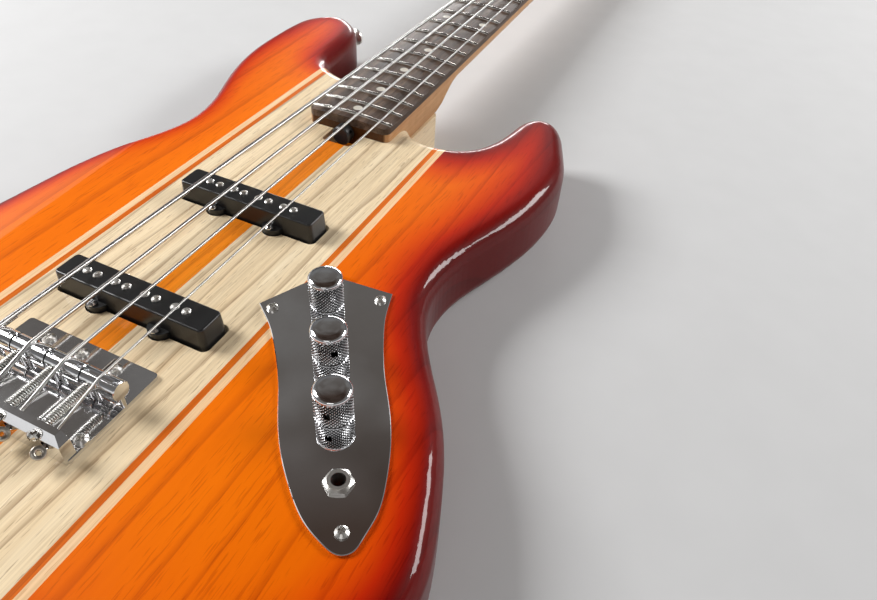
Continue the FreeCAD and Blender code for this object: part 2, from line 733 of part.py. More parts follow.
def build_strap_buttons(outline):
    solids = []
    screw_hole_radius = BUTTON_SCREW_RADIUS + SCREW_FIT
    for seat, way in strap_button_seats(outline):
        button = turned(BUTTON_PROFILE, seat, way)
        button = button.cut(Part.makeCylinder(screw_hole_radius, BUTTON_HEIGHT, seat - way, way))
        recess = seat + way * BUTTON_RECESS
        button = button.cut(Part.makeCylinder(BUTTON_WAIST, BUTTON_HEIGHT, recess, way))
        solids.append(button)
        solids.append(screw(recess, way, BUTTON_SCREW_HEAD, BUTTON_SCREW_RADIUS,
                            BUTTON_SCREW_LENGTH + BUTTON_RECESS))
    save("strap_buttons", solids)


# Neck
HEEL_DEPTH = BOARD_BASE - POCKET_FLOOR
SHAFT_DEPTH = 16.5
NUT_DEPTH = 14.0
SIDE_HEIGHT = 2.5
HEEL_EDGE = 2.0
HEEL_BLEND = 40.0
BACK_ROUND = 0.85
HEAD_EDGE = 1.5
HEAD_PAST_POST = 24.0
HEAD_CREST = (4.0, 10.0)
HEAD_TREBLE_END = (25.0, 12.0)
HEAD_SHOULDER = 5.0
HEAD_JOIN = SCALE_LENGTH + 32.0
NUT_SHELF = SCALE_LENGTH + NUT_LENGTH + 1.0
STRING_HEIGHT_AT_NUT = 1.6
NUT_RISE = 3.6
NUT_SLOT_FIT = 0.12
NUT_SLOPE_DEG = 12.0
NUT_CREST = 0.8
POST_GAP = 0.3


def post_centre(index):
    """A tuner post stands so that its string meets the winding as a straight line."""
    name = STRING_NAMES[index]
    y = SCALE_LENGTH + TUNER_FIRST + TUNER_STEP * index
    return Vector(string_x(name, y) - winding_radius(name), y, 0)


def winding_radius(name):
    return POST_RADIUS + POST_GAP + STRING_RADII[name]


POSTS = [post_centre(index) for index in range(4)]
ROW = (POSTS[3] - POSTS[0]).normalize()
ROW_ANGLE_DEG = math.degrees(math.atan2(ROW.x, ROW.y))
KEY_WAY = Vector(-ROW.y, ROW.x, 0)


def head_bass_edge(y):
    foot = POSTS[0] + KEY_WAY * HEAD_EDGE_TO_POSTS
    return foot.x + ROW.x / ROW.y * (y - foot.y)


HEAD_TREBLE_START = NUT_WIDTH / 2 + HEAD_SHOULDER


def neck_section(y, left, right, top, bottom, corner_x, corner_z):
    """A closed section: flat top, upright sides, elliptic corners and a flat bottom."""
    weight = math.sqrt(0.5)

    def corner(start, control, end):
        curve = Part.BSplineCurve()
        curve.buildFromPolesMultsKnots([start, control, end], [3, 3], [0, 1], False, 2, [1, weight, 1])
        return curve.toShape()

    a = Vector(left, y, top)
    b = Vector(right, y, top)
    c = Vector(right, y, bottom + corner_z)
    d = Vector(right - corner_x, y, bottom)
    e = Vector(left + corner_x, y, bottom)
    f = Vector(left, y, bottom + corner_z)
    return Part.Wire([Part.LineSegment(a, b).toShape(), Part.LineSegment(b, c).toShape(),
                      corner(c, Vector(right, y, bottom), d), Part.LineSegment(d, e).toShape(),
                      corner(e, Vector(left, y, bottom), f), Part.LineSegment(f, a).toShape()])


def ease(share):
    return share * share * (3 - 2 * share)


def neck_sections():
    sections = []
    for y in (HEEL_END, POCKET_END + 1):
        half = neck_half_width(y)
        sections.append(neck_section(y, -half, half, BOARD_BASE, POCKET_FLOOR, HEEL_EDGE, HEEL_EDGE))
    for share in (0.25, 0.5, 0.75, 1.0):
        y = POCKET_END + 1 + HEEL_BLEND * share
        half = neck_half_width(y)
        depth = HEEL_DEPTH + (SHAFT_DEPTH - HEEL_DEPTH) * ease(share)
        corner_x = HEEL_EDGE + (half * BACK_ROUND - HEEL_EDGE) * ease(share)
        corner_z = HEEL_EDGE + (depth - SIDE_HEIGHT - HEEL_EDGE) * ease(share)
        sections.append(neck_section(y, -half, half, BOARD_BASE, BOARD_BASE - depth, corner_x, corner_z))
    half = NUT_WIDTH / 2
    sections.append(neck_section(SCALE_LENGTH, -half, half, BOARD_BASE, BOARD_BASE - NUT_DEPTH,
                                 half * BACK_ROUND, NUT_DEPTH - SIDE_HEIGHT))
    for share in (0.0, 0.2, 0.4, 0.6, 0.8, 1.0):
        y = NUT_SHELF + (HEAD_JOIN - NUT_SHELF) * share
        blend = ease(share)
        left = -half + (head_bass_edge(HEAD_JOIN) + half) * blend
        right = half + (HEAD_TREBLE_START - half) * blend
        top = BOARD_BASE + (HEAD_TOP - BOARD_BASE) * blend
        bottom = BOARD_BASE - NUT_DEPTH + (HEAD_BACK - BOARD_BASE + NUT_DEPTH) * blend
        corner_x = HEAD_EDGE + (half * BACK_ROUND - HEAD_EDGE) * (1 - blend)
        corner_z = HEAD_EDGE + (NUT_DEPTH - SIDE_HEIGHT - HEAD_EDGE) * (1 - blend)
        sections.append(neck_section(y, left, right, top, bottom, corner_x, corner_z))
    return sections


def head_plate():
    """The flat head, of a plain design: a long wedge with one round shoulder and a slanted end."""
    last_post = POSTS[3]
    tip_y = last_post.y + HEAD_PAST_POST
    bass_join = Vector(head_bass_edge(HEAD_JOIN), HEAD_JOIN, HEAD_BACK)
    bass_end = Vector(head_bass_edge(tip_y), tip_y, HEAD_BACK)
    crest = Vector(last_post.x + HEAD_CREST[0], tip_y + HEAD_CREST[1], HEAD_BACK)
    treble_end = Vector(last_post.x + HEAD_TREBLE_END[0], tip_y - HEAD_TREBLE_END[1], HEAD_BACK)
    treble_join = Vector(HEAD_TREBLE_START, HEAD_JOIN, HEAD_BACK)
    edges = [Part.LineSegment(treble_join, bass_join).toShape(),
             Part.LineSegment(bass_join, bass_end).toShape(),
             Part.Arc(bass_end, crest, treble_end).toShape(),
             Part.LineSegment(treble_end, treble_join).toShape()]
    return Part.Face(Part.Wire(edges)).extrude(UP * HEAD_THICKNESS)


def heel_corners():
    """The two slivers that rounding takes off the end of the heel."""
    near = neck_half_width(HEEL_END)
    far_y = HEEL_END + 3 * HEEL_CORNER
    far = neck_half_width(far_y)
    plan = prism([(-near, HEEL_END), (near, HEEL_END), (far, far_y), (-far, far_y)],
                 POCKET_FLOOR - 1, BOARD_BASE + 1)
    return plan.cut(round_upright_edges(plan, HEEL_CORNER, lambda p: p.y < HEEL_END + 1))


BUSH_RADIUS = 7.0
BUSH_FLANGE_RADIUS = 9.0
BUSH_FLANGE = 1.2
TUNER_SHEET = 1.6
TUNER_CORNER = 3.0
TUNER_PLATE = (-15.0, 15.0, -22.0, 19.0)
TUNER_SCREWS = [(-12.6, 16.4), (12.6, 16.4), (-12.6, -19.9), (12.6, -19.9)]
TUNER_SCREW_RADIUS = 1.3
TUNER_SCREW_LENGTH = 9.0
TUNER_SCREW_HEAD = (2.0, 1.4)
TREE_Y = SCALE_LENGTH + 72.0
TREE_SCREW_RADIUS = 1.4
TREE_SCREW_BITE = 6.5
TREE_SCREW_HEAD = (2.8, 1.6)
TREE_STEM = 2.6
TREE_CAP = 1.8
TREE_RADIUS = 6.5
TREE_UNDERSIDE = 7.6
WINDING_RISE = 7.0


def in_head(shape, index):
    """Move a tuner piece from its own frame to its place on the head's back."""
    turn = Placement(POSTS[index] + UP * HEAD_BACK, Rotation(UP, -ROW_ANGLE_DEG))
    placed = shape.copy()
    placed.Placement = turn.multiply(placed.Placement)
    return placed


def tree_place():
    middle = (string_x("d", TREE_Y) + string_x("g", TREE_Y)) / 2
    return Vector(middle, TREE_Y, HEAD_TOP)


def build_neck():
    neck = Part.makeLoft(neck_sections(), True, True)
    neck = neck.cut(heel_corners()).fuse(head_plate())
    tools = []
    for index in range(4):
        centre = POSTS[index]
        tools.append(Part.makeCylinder(BUSH_RADIUS, HEAD_THICKNESS + 2, centre + UP * (HEAD_BACK - 1)))
        for x, y in TUNER_SCREWS:
            hole = Part.makeCylinder(TUNER_SCREW_RADIUS + SCREW_FIT, TUNER_SCREW_LENGTH + 1,
                                     Vector(x, y, -1))
            tools.append(in_head(hole, index))
    for place in neck_screw_places():
        base = place + UP * (POCKET_FLOOR - 1)
        tools.append(Part.makeCylinder(NECK_SCREW_RADIUS + SCREW_FIT, NECK_SCREW_BITE + 2, base))
    rod_end = Vector(0, SCALE_LENGTH - TRUSS_STOP, TRUSS_Z)
    tools.append(rod(TRUSS_RADIUS + RUN_FIT, Vector(0, HEEL_END - 1, TRUSS_Z), rod_end + ALONG))
    tools.append(screw_hole(tree_place(), UP, TREE_SCREW_RADIUS, TREE_SCREW_BITE))
    for tool in tools:
        neck = neck.cut(tool)
    save("neck", neck.Solids)
    ferrules = []
    screws = []
    for place in neck_screw_places():
        head_seat = place + UP * (FERRULE_DEPTH - FERRULE_FLOOR)
        cup = Part.makeCylinder(FERRULE_RADIUS - RUN_FIT, FERRULE_DEPTH, place)
        cup = cup.cut(Part.makeCylinder(FERRULE_RADIUS - FERRULE_WALL, head_seat.z + 1, place - UP))
        cup = cup.cut(Part.makeCylinder(NECK_SCREW_RADIUS + THROUGH_FIT, FERRULE_DEPTH + 1, place))
        ferrules.append(cup)
        length = POCKET_FLOOR + NECK_SCREW_BITE - head_seat.z
        screws.append(screw(head_seat, UP * -1, NECK_SCREW_HEAD, NECK_SCREW_RADIUS, length))
    save("neck_ferrules", ferrules)
    save("neck_screws", screws)
    wheel_start = Vector(0, HEEL_END - WHEEL_GAP - WHEEL_LENGTH, TRUSS_Z)
    wheel = Part.makeCylinder(WHEEL_RADIUS, WHEEL_LENGTH, wheel_start, ALONG)
    wheel = wheel.makeChamfer(WHEEL_EDGE, [e for e in wheel.Edges if e.Curve.TypeId == "Part::GeomCircle"])
    wheel_floor = wheel_start + ALONG * WHEEL_FLOOR
    wheel = wheel.cut(Part.makeCylinder(TRUSS_RADIUS + RUN_FIT, WHEEL_LENGTH, wheel_floor, ALONG))
    save("truss_rod", [rod(TRUSS_RADIUS, wheel_floor + ALONG * RUN_FIT, rod_end)])
    hole_radius, hole_floor = SPOKE_HOLE
    for spoke in range(WHEEL_SPOKES):
        angle = 2 * math.pi * spoke / WHEEL_SPOKES
        way = Vector(math.sin(angle), 0, math.cos(angle))
        hole_start = wheel_start + ALONG * (WHEEL_LENGTH / 2) + way * hole_floor
        wheel = wheel.cut(Part.makeCylinder(hole_radius, WHEEL_RADIUS, hole_start, way))
    save("truss_wheel", [wheel])


def board_cylinder(radius):
    """The long cylinder whose top is the playing surface."""
    start = Vector(0, HEEL_END - 50, BOARD_TOP - BOARD_RADIUS)
    return Part.makeCylinder(radius, SCALE_LENGTH + 100, start, ALONG)


def fret_y(number):
    return SCALE_LENGTH / 2 ** (number / 12)


FRET_WIDTH = 2.6
FRET_HEIGHT = 1.1
FRET_INSET = 0.4
DOT_RADIUS = 3.2
DOT_DEPTH = 1.6
SINGLE_DOTS = [3, 5, 7, 9, 15, 17, 19, 21]
DOUBLE_DOT = 12
DOUBLE_DOT_X = 17.0


def dot_places():
    for number in SINGLE_DOTS:
        if number <= FRET_COUNT:
            yield 0.0, (fret_y(number) + fret_y(number - 1)) / 2
    y = (fret_y(DOUBLE_DOT) + fret_y(DOUBLE_DOT - 1)) / 2
    yield -DOUBLE_DOT_X, y
    yield DOUBLE_DOT_X, y


def build_board():
    heel_half = neck_half_width(HEEL_END)
    nut_half = NUT_WIDTH / 2
    plan = [(-heel_half, HEEL_END), (heel_half, HEEL_END),
            (nut_half, SCALE_LENGTH), (-nut_half, SCALE_LENGTH)]
    board = prism(plan, BOARD_BASE, BOARD_TOP + 1)
    board = round_upright_edges(board, HEEL_CORNER, lambda p: p.y < HEEL_END + 1)
    surface = board_cylinder(BOARD_RADIUS)
    board = board.common(surface)
    dots = []
    for x, y in dot_places():
        well_floor = BOARD_TOP - x * x / 2 / BOARD_RADIUS - DOT_DEPTH
        well = Part.makeCylinder(DOT_RADIUS, 2 * DOT_DEPTH, Vector(x, y, well_floor))
        dots.append(well.common(surface))
        board = board.cut(well)
    save("fretboard", [board])
    save("position_dots", dots)
    frets = []
    axis_z = BOARD_TOP - BOARD_RADIUS
    for number in range(1, FRET_COUNT + 1):
        y = fret_y(number)
        half = FRET_WIDTH / 2
        foot = Vector(0, y - half, BOARD_TOP)
        crown = Vector(0, y, BOARD_TOP + FRET_HEIGHT)
        toe = Vector(0, y + half, BOARD_TOP)
        bead = Part.Wire([Part.Arc(foot, crown, toe).toShape(), Part.LineSegment(toe, foot).toShape()])
        reach = math.degrees(math.asin((neck_half_width(y) - FRET_INSET) / BOARD_RADIUS))
        face = Part.Face(bead)
        face.rotate(Vector(0, 0, axis_z), ALONG, -reach)
        frets.append(face.revolve(Vector(0, 0, axis_z), ALONG, 2 * reach))
    save("frets", frets)


def nut_string_z(name):
    x = string_x(name, SCALE_LENGTH)
    return BOARD_TOP - x * x / 2 / BOARD_RADIUS + STRING_HEIGHT_AT_NUT + STRING_RADII[name]


def build_nut():
    half = NUT_WIDTH / 2
    high = BOARD_TOP + NUT_RISE + 1
    nut = block(-half, half, SCALE_LENGTH, SCALE_LENGTH + NUT_LENGTH, BOARD_BASE, high)
    nut = nut.common(board_cylinder(BOARD_RADIUS + NUT_RISE))
    for name in STRING_NAMES:
        start = Vector(string_x(name, SCALE_LENGTH), SCALE_LENGTH - 2, nut_string_z(name))
        slot_radius = STRING_RADII[name] + NUT_SLOT_FIT
        nut = nut.cut(Part.makeCylinder(slot_radius, NUT_LENGTH + 4, start - ALONG, ALONG))
        nut = nut.cut(block(start.x - slot_radius, start.x + slot_radius, SCALE_LENGTH - 2,
                            SCALE_LENGTH + NUT_LENGTH + 2, start.z, high + 2))
        slope = block(start.x - slot_radius, start.x + slot_radius, 0, 20, 0, high)
        slope_start = Vector(0, SCALE_LENGTH + NUT_CREST, start.z - STRING_RADII[name] - STRING_FIT)
        slope.Placement = Placement(slope_start, Rotation(ACROSS, -NUT_SLOPE_DEG))
        nut = nut.cut(slope)
    save("nut", nut.Solids)


# Strings
BALL_RADIUS = 3.0
BALL_LENGTH = 4.0
WINDING_TURNS = 2.5
WINDING_GAP = 0.6
BALL_BORE = 1.0
NUT_BEND = 12.0
WIDE_BEND = 60.0
WINDING_APPROACH = 14.0


def string_route(index):
    """A string from its ball end over saddle and nut to the start of its winding."""
    name = STRING_NAMES[index]
    radius = STRING_RADII[name]
    winding_z = HEAD_TOP + WINDING_RISE
    nut_z = nut_string_z(name)
    points = [lip_place(name), over_saddle_corner(name),
              Vector(string_x(name, SCALE_LENGTH), SCALE_LENGTH + NUT_BREAK, nut_z)]
    radii = [saddle_string_z(name) - SADDLE_Z, NUT_BEND]
    post = POSTS[index]
    if name in ("d", "g"):
        at_rim = HEAD_TOP + TREE_UNDERSIDE - radius - 2 * STRING_FIT
        share = TREE_RADIUS / (TREE_Y - SCALE_LENGTH - NUT_BREAK)
        points.append(Vector(string_x(name, TREE_Y), TREE_Y, (at_rim - share * nut_z) / (1 - share)))
        radii.append(WIDE_BEND)
    way_in = Vector(string_x(name, post.y) - string_x(name, post.y - 1), 1, 0).normalize()
    side = Vector(way_in.y, -way_in.x, 0)
    pitch = 2 * radius + WINDING_GAP
    winding, last, heading = helix_edges(post + UP * winding_z, side, way_in, UP, winding_radius(name),
                                         pitch, WINDING_TURNS)
    first = winding[0].valueAt(winding[0].FirstParameter)
    first_way = winding[0].tangentAt(winding[0].FirstParameter)
    approach = first - first_way * WINDING_APPROACH
    points += [approach, first]
    radii.append(WIDE_BEND)
    edges = bent_path(points, radii) + winding
    edges.append(Part.LineSegment(last, last + heading * (2 * radius)).toShape())
    gap = least_self_gap(winding, 2 * radius)
    print("string", name, "winding least self gap", round(gap, 2))
    return edges


def build_strings():
    for index, name in enumerate(STRING_NAMES):
        radius = STRING_RADII[name]
        edges = string_route(index)
        string = tube(edges, radius)
        length = sum(edge.Length for edge in edges)
        print("string", name, "volume ratio", round(string.Volume / (math.pi * radius ** 2 * length), 4))
        end = edges[0].valueAt(edges[0].FirstParameter)
        back = edges[0].tangentAt(edges[0].FirstParameter) * -1
        ball_start = end + back * BALL_RADIUS - ACROSS * (BALL_LENGTH / 2)
        ball = Part.makeCylinder(BALL_RADIUS, BALL_LENGTH, ball_start, ACROSS)
        ball = ball.cut(Part.makeCylinder(BALL_BORE, BALL_LENGTH + 2, ball_start - ACROSS, ACROSS))
        save("string_" + name, [string, ball.cut(string)])


def build_bridge():
    low = TOP
    plate = block(-BRIDGE_HALF_WIDTH, BRIDGE_HALF_WIDTH, -BRIDGE_REAR, BRIDGE_FRONT, low, BRIDGE_TOP)
    plate = round_upright_edges(plate, BRIDGE_CORNER, lambda p: True)
    lip_end = BRIDGE_HALF_WIDTH - LIP_END_GAP
    lip = block(-lip_end, lip_end, -BRIDGE_REAR, -BRIDGE_REAR + BRIDGE_LIP_THICKNESS, low,
                TOP + BRIDGE_LIP_HEIGHT)
    top_corners = [e for e in lip.Edges if e.BoundBox.YLength > BRIDGE_LIP_THICKNESS / 2
                   and e.CenterOfMass.z > TOP + BRIDGE_LIP_HEIGHT - 0.1 and abs(e.CenterOfMass.x) > 1]
    lip = lip.makeChamfer(LIP_CHAMFER, top_corners)
    plate = plate.fuse(lip).removeSplitter()
    lip_front = BRIDGE_LIP_THICKNESS - BRIDGE_REAR
    inner = [e for e in plate.Edges if abs(e.CenterOfMass.z - BRIDGE_TOP) < 0.01
             and abs(e.CenterOfMass.y - lip_front) < 0.01 and e.BoundBox.XLength > 30]
    plate = plate.makeFillet(LIP_BEND, inner)
    holes = []
    for place in bridge_screw_places():
        holes.append(Part.makeCylinder(BRIDGE_SCREW_RADIUS + THROUGH_FIT, 10, place - UP * 5))
    for name in STRING_NAMES:
        x = string_x(name, 0)
        way = (over_saddle_corner(name) - lip_place(name)).normalize()
        hole_length = 3 * BRIDGE_LIP_THICKNESS
        start = lip_place(name) - way * BRIDGE_LIP_THICKNESS
        holes.append(Part.makeCylinder(LIP_HOLE_RADIUS, hole_length, start, way))
        screw_start = Vector(x + INTONATION_OFFSET, -BRIDGE_REAR - BRIDGE_LIP_THICKNESS, SADDLE_Z)
        holes.append(Part.makeCylinder(INTONATION_RADIUS + RUN_FIT, hole_length, screw_start, ALONG))
    for hole in holes:
        plate = plate.cut(hole)
    save("bridge_plate", plate.Solids)
    save("bridge_screws", [screw(p, UP, BRIDGE_SCREW_HEAD, BRIDGE_SCREW_RADIUS, BRIDGE_SCREW_LENGTH)
                           for p in bridge_screw_places()])
    springs = []
    for name in STRING_NAMES:
        x = string_x(name, 0)
        build_saddle(name, x)
        head_seat = Vector(x + INTONATION_OFFSET, -BRIDGE_REAR - RUN_FIT, SADDLE_Z)
        bolt = screw(head_seat, ALONG * -1, INTONATION_HEAD, INTONATION_RADIUS,
                     BRIDGE_REAR + INTONATION_FRONT)
        save("intonation_screw_" + name, [bolt])
        springs.append(saddle_spring(x + INTONATION_OFFSET))
    save("intonation_springs", springs)


def build_saddle(name, x):
    start = Vector(x - SADDLE_LENGTH / 2, 0, SADDLE_Z)
    barrel = Part.makeCylinder(SADDLE_RADIUS, SADDLE_LENGTH, start, ACROSS)
    rims = [e for e in barrel.Edges if e.Curve.TypeId == "Part::GeomCircle"]
    barrel = barrel.makeChamfer(SADDLE_EDGE, rims)
    radius = STRING_RADII[name]
    groove_ring = Part.makeCircle(radius + GROOVE_FIT, Vector(x, 0, saddle_string_z(name)), ALONG)
    groove_face = Part.Face(Part.Wire(groove_ring))
    groove = groove_face.revolve(Vector(x, 0, SADDLE_Z), ACROSS, 360)
    barrel = barrel.cut(groove)
    thread_start = Vector(x + INTONATION_OFFSET, -2 * SADDLE_RADIUS, SADDLE_Z)
    thread_length = 4 * SADDLE_RADIUS
    barrel = barrel.cut(Part.makeCylinder(INTONATION_RADIUS + RUN_FIT, thread_length, thread_start, ALONG))
    feet = []
    socket_radius, socket_depth = KEY_SOCKET
    for side in (-HEIGHT_SCREW_X, HEIGHT_SCREW_X):
        foot = Vector(x + side, 0, BRIDGE_TOP + RUN_FIT)
        barrel = barrel.cut(Part.makeCylinder(HEIGHT_SCREW_RADIUS + RUN_FIT, 30, foot - UP * 2))
        grub_top = SADDLE_Z + HEIGHT_SCREW_RISE
        grub = Part.makeCylinder(HEIGHT_SCREW_RADIUS, grub_top - foot.z, foot)
        grub = grub.cut(hexagon(socket_radius, grub_top - socket_depth, 2 * socket_depth, foot))
        feet.append(grub)
    save("saddle_" + name, [barrel] + feet)


def hexagon(radius, low, height, place):
    corners = [(place.x + radius * math.cos(math.pi / 3 * k), place.y + radius * math.sin(math.pi / 3 * k))
               for k in range(6)]
    return prism(corners, low, low + height)


def saddle_spring(x):
    """A spring on an intonation screw, from the lip to the saddle."""
    back = -BRIDGE_REAR + BRIDGE_LIP_THICKNESS + SPRING_END_GAP
    front = -SADDLE_RADIUS - SPRING_END_GAP
    mean = INTONATION_RADIUS + SPRING_ROOM + SPRING_WIRE / 2
    tail = SPRING_WIRE
    pitch = (front - back - SPRING_WIRE) / SPRING_TURNS
    centre = Vector(x, back + SPRING_WIRE / 2, SADDLE_Z)
    turns, last, heading = helix_edges(centre, UP, ACROSS, ALONG, mean, pitch, SPRING_TURNS)
    first = turns[0].valueAt(turns[0].FirstParameter)
    first_way = turns[0].tangentAt(turns[0].FirstParameter)
    edges = [Part.LineSegment(first - first_way * tail, first).toShape()] + turns
    edges.append(Part.LineSegment(last, last + heading * tail).toShape())
    print("spring least self gap", round(least_self_gap(turns, SPRING_WIRE), 2))
    return tube(edges, SPRING_WIRE / 2)


# Controls
POT_RADIUS = 12.0
POT_HEIGHT = 10.0
POT_BUSH_RADIUS = 4.6
POT_BUSH_RISE = 5.2
SHAFT_RADIUS = 3.0
NUT_ACROSS = 11.0
NUT_HEIGHT = 2.2
JACK_BORE = 3.2
JACK_BUSH_RADIUS = 4.7
JACK_RISE = 4.2
JACK_NUT_ACROSS = 12.7
CASE_TOP = TOP - RUN_FIT
BUSH_ROOT = 4.0
PLATE_EDGE = 0.3
SHAFT_BITE = 5.0
KNOB_CEILING = 4.0
KNOB_WALL = 1.8
SET_SCREW_RADIUS = 1.55
SET_SCREW_LENGTH = 4.0
JACK_FLANGE = (7.5, 2.5)
CONTACT_SIZE = (1.6, 6.0, 20.0)
CONTACT_GAP = 2.0
WIRE_RADIUS = 1.0
WIRE_BEND = 3.0
WIRE_SAG = 8.0
WIRE_SIDE = 5.0
WIRE_DROP = 14.0


def hex_nut(across, bore, low, height, place):
    return hexagon(across / math.sqrt(3), low, height, place).cut(
        Part.makeCylinder(bore, height + 2, Vector(place.x, place.y, low - 1)))


def build_controls():
    plate = Part.Face(control_plate_outline(TOP)).extrude(UP * CONTROL_PLATE_THICKNESS)
    rim = [e for e in plate.Edges if abs(e.CenterOfMass.z - PLATE_TOP) < 1e-6 and e.BoundBox.ZLength < 1e-6]
    plate = plate.makeChamfer(PLATE_EDGE, rim)
    pots = []
    nuts = []
    for name, place_along in zip(KNOB_NAMES, KNOB_PLACES):
        place = control_point(place_along, 0, 0)
        plate = plate.cut(Part.makeCylinder(POT_BUSH_RADIUS + 2 * RUN_FIT, 10, place + UP * (TOP - 4)))
        pots.append(pot(place))
        nuts.append(hex_nut(NUT_ACROSS, POT_BUSH_RADIUS + RUN_FIT, PLATE_TOP, NUT_HEIGHT, place))
        save(name, knob(place))
    jack_place = control_point(JACK_PLACE, 0, 0)
    plate = plate.cut(Part.makeCylinder(JACK_BUSH_RADIUS + 2 * RUN_FIT, 10, jack_place + UP * (TOP - 4)))
    nuts.append(hex_nut(JACK_NUT_ACROSS, JACK_BUSH_RADIUS + RUN_FIT, PLATE_TOP, NUT_HEIGHT, jack_place))
    for place in plate_screw_places():
        plate = plate.cut(Part.makeCylinder(PLATE_SCREW_RADIUS + THROUGH_FIT, 10, place - UP * 5))
    save("control_plate", plate.Solids)
    save("control_plate_screws", [screw(p, UP, PLATE_SCREW_HEAD, PLATE_SCREW_RADIUS, PLATE_SCREW_LENGTH)
                                  for p in plate_screw_places()])
    save("control_pots", pots)
    save("control_nuts", nuts)
    save("jack_socket", jack(jack_place))
    build_wiring(jack_place)


def pot(place):
    case = Part.makeCylinder(POT_RADIUS, POT_HEIGHT, place + UP * (CASE_TOP - POT_HEIGHT))
    bush = Part.makeCylinder(POT_BUSH_RADIUS, POT_BUSH_RISE + 1, place + UP * (CASE_TOP - 1))
    shaft_floor = place + UP * (CASE_TOP - SHAFT_BITE - 1)
    return case.fuse(bush).cut(Part.makeCylinder(SHAFT_RADIUS + RUN_FIT, 30, shaft_floor))


def knob(place):
    """A knurled barrel knob with its pot shaft and set screw."""
    low = PLATE_TOP + KNOB_GAP
    high = low + KNOB_HEIGHT
    radius = KNOB_RADIUS
    profile = [(0, low), (radius - 0.5, low), (radius, low + 0.5), (radius, high - 2.2),
               (radius - 0.5, high - 1.9), (radius - 1.2, high - 0.7), (radius - 3.0, high - 0.2), (0, high)]
    body = turned(profile, place, UP)
    shaft_low = TOP - SHAFT_BITE
    shaft_top = high - KNOB_CEILING
    body = body.cut(Part.makeCylinder(SHAFT_RADIUS + PRESS_FIT, shaft_top - low + 1, place + UP * (low - 1)))
    body = body.cut(Part.makeCylinder(radius - KNOB_WALL, POT_BUSH_RISE, place + UP * (low - 1)))
    shaft = Part.makeCylinder(SHAFT_RADIUS, shaft_top - shaft_low - THROUGH_FIT, place + UP * shaft_low)
    hole_start = place + UP * (low + KNOB_HEIGHT / 2) + CONTROL_AXIS * SHAFT_RADIUS
    body = body.cut(Part.makeCylinder(SET_SCREW_RADIUS + RUN_FIT, radius, hole_start, CONTROL_AXIS))
    grub_start = hole_start + CONTROL_AXIS * RUN_FIT
    grub = Part.makeCylinder(SET_SCREW_RADIUS, SET_SCREW_LENGTH, grub_start, CONTROL_AXIS)
    return [body, shaft, grub]


def jack(place):
    """The output socket: a bush with a frame below it and a spring contact beside the plug's path."""
    flange_radius, flange_depth = JACK_FLANGE
    thick, wide, long = CONTACT_SIZE
    bush = Part.makeCylinder(JACK_BUSH_RADIUS, JACK_RISE + BUSH_ROOT, place + UP * (CASE_TOP - BUSH_ROOT))
    flange = Part.makeCylinder(flange_radius, flange_depth, place + UP * (CASE_TOP - flange_depth))
    tongue = Part.makeBox(thick, wide, long, Vector(-thick, -wide / 2, 0))
    tongue_foot = place + UP * (CASE_TOP - flange_depth - long) - CONTROL_AXIS * (JACK_BORE + CONTACT_GAP)
    tongue.Placement = Placement(tongue_foot, Rotation(UP, CONTROL_ANGLE_DEG - 90))
    socket = bush.fuse([flange]).cut(Part.makeCylinder(JACK_BORE, 60, place + UP * (CASE_TOP - 30)))
    contact = tongue.cut(socket)
    return [socket] + contact.Solids


def build_wiring(jack_place):
    """Leads from the pickups to the pots, and on from pot to pot to the socket."""
    wires = []
    pot_floor = CASE_TOP - POT_HEIGHT - RUN_FIT
    lead_low = TOP - PICKUP_ROUTE_DEPTH + 2.5 * WIRE_RADIUS
    pots_at = [control_point(s, 0, pot_floor) for s in KNOB_PLACES]
    neck_in, neck_out = NECK_WIRE_HOLE
    bridge_in, bridge_out = BRIDGE_WIRE_HOLE
    sag = UP * -WIRE_SAG
    beside = pots_at[1] - CONTROL_SIDE * WIRE_BEND
    neck_lead = [Vector(18, NECK_PICKUP_Y, lead_low), Vector(30, NECK_PICKUP_Y, lead_low), neck_in,
                 neck_out, pots_at[0] + sag, pots_at[0]]
    bridge_lead = [Vector(18, BRIDGE_PICKUP_Y, lead_low), Vector(30, BRIDGE_PICKUP_Y, lead_low), bridge_in,
                   bridge_out, beside + sag, beside]
    for route in (neck_lead, bridge_lead):
        wires.append(tube(bent_path(route, [WIRE_BEND] * (len(route) - 2)), WIRE_RADIUS))
    for first, last in ((pots_at[0], pots_at[1]), (pots_at[1], pots_at[2])):
        shift = CONTROL_SIDE * WIRE_SIDE
        loop = [first + shift, first + shift + sag, last + shift + sag, last + shift]
        wires.append(tube(bent_path(loop, [WIRE_BEND, WIRE_BEND]), WIRE_RADIUS))
    contact_back = JACK_BORE + CONTACT_GAP + CONTACT_SIZE[0] + RUN_FIT
    end = jack_place + UP * (TOP - WIRE_DROP) - CONTROL_AXIS * (contact_back + WIRE_RADIUS)
    start = pots_at[2] + CONTROL_AXIS * WIRE_SIDE
    tail = [start, start + sag, Vector(end.x, end.y, start.z - WIRE_SAG), end]
    wires.append(tube(bent_path(tail, [WIRE_BEND, WIRE_BEND]), WIRE_RADIUS))
    save("hookup_wires", wires)


def build_pickups():
    for name, (y, length, spacing) in PICKUPS.items():
        save("pickup_cover_" + name, pickup_cover(y, length, spacing).Solids)
        save("pickup_poles_" + name, [pole(place) for place in pole_places(y, spacing)])
        save("pickup_coil_" + name, pickup_coil(y, length, spacing))
        save("pickup_screws_" + name, [screw(p, UP, EAR_SCREW_HEAD, EAR_SCREW_RADIUS, EAR_SCREW_LENGTH)
                                       for p in pickup_screw_places(y)])


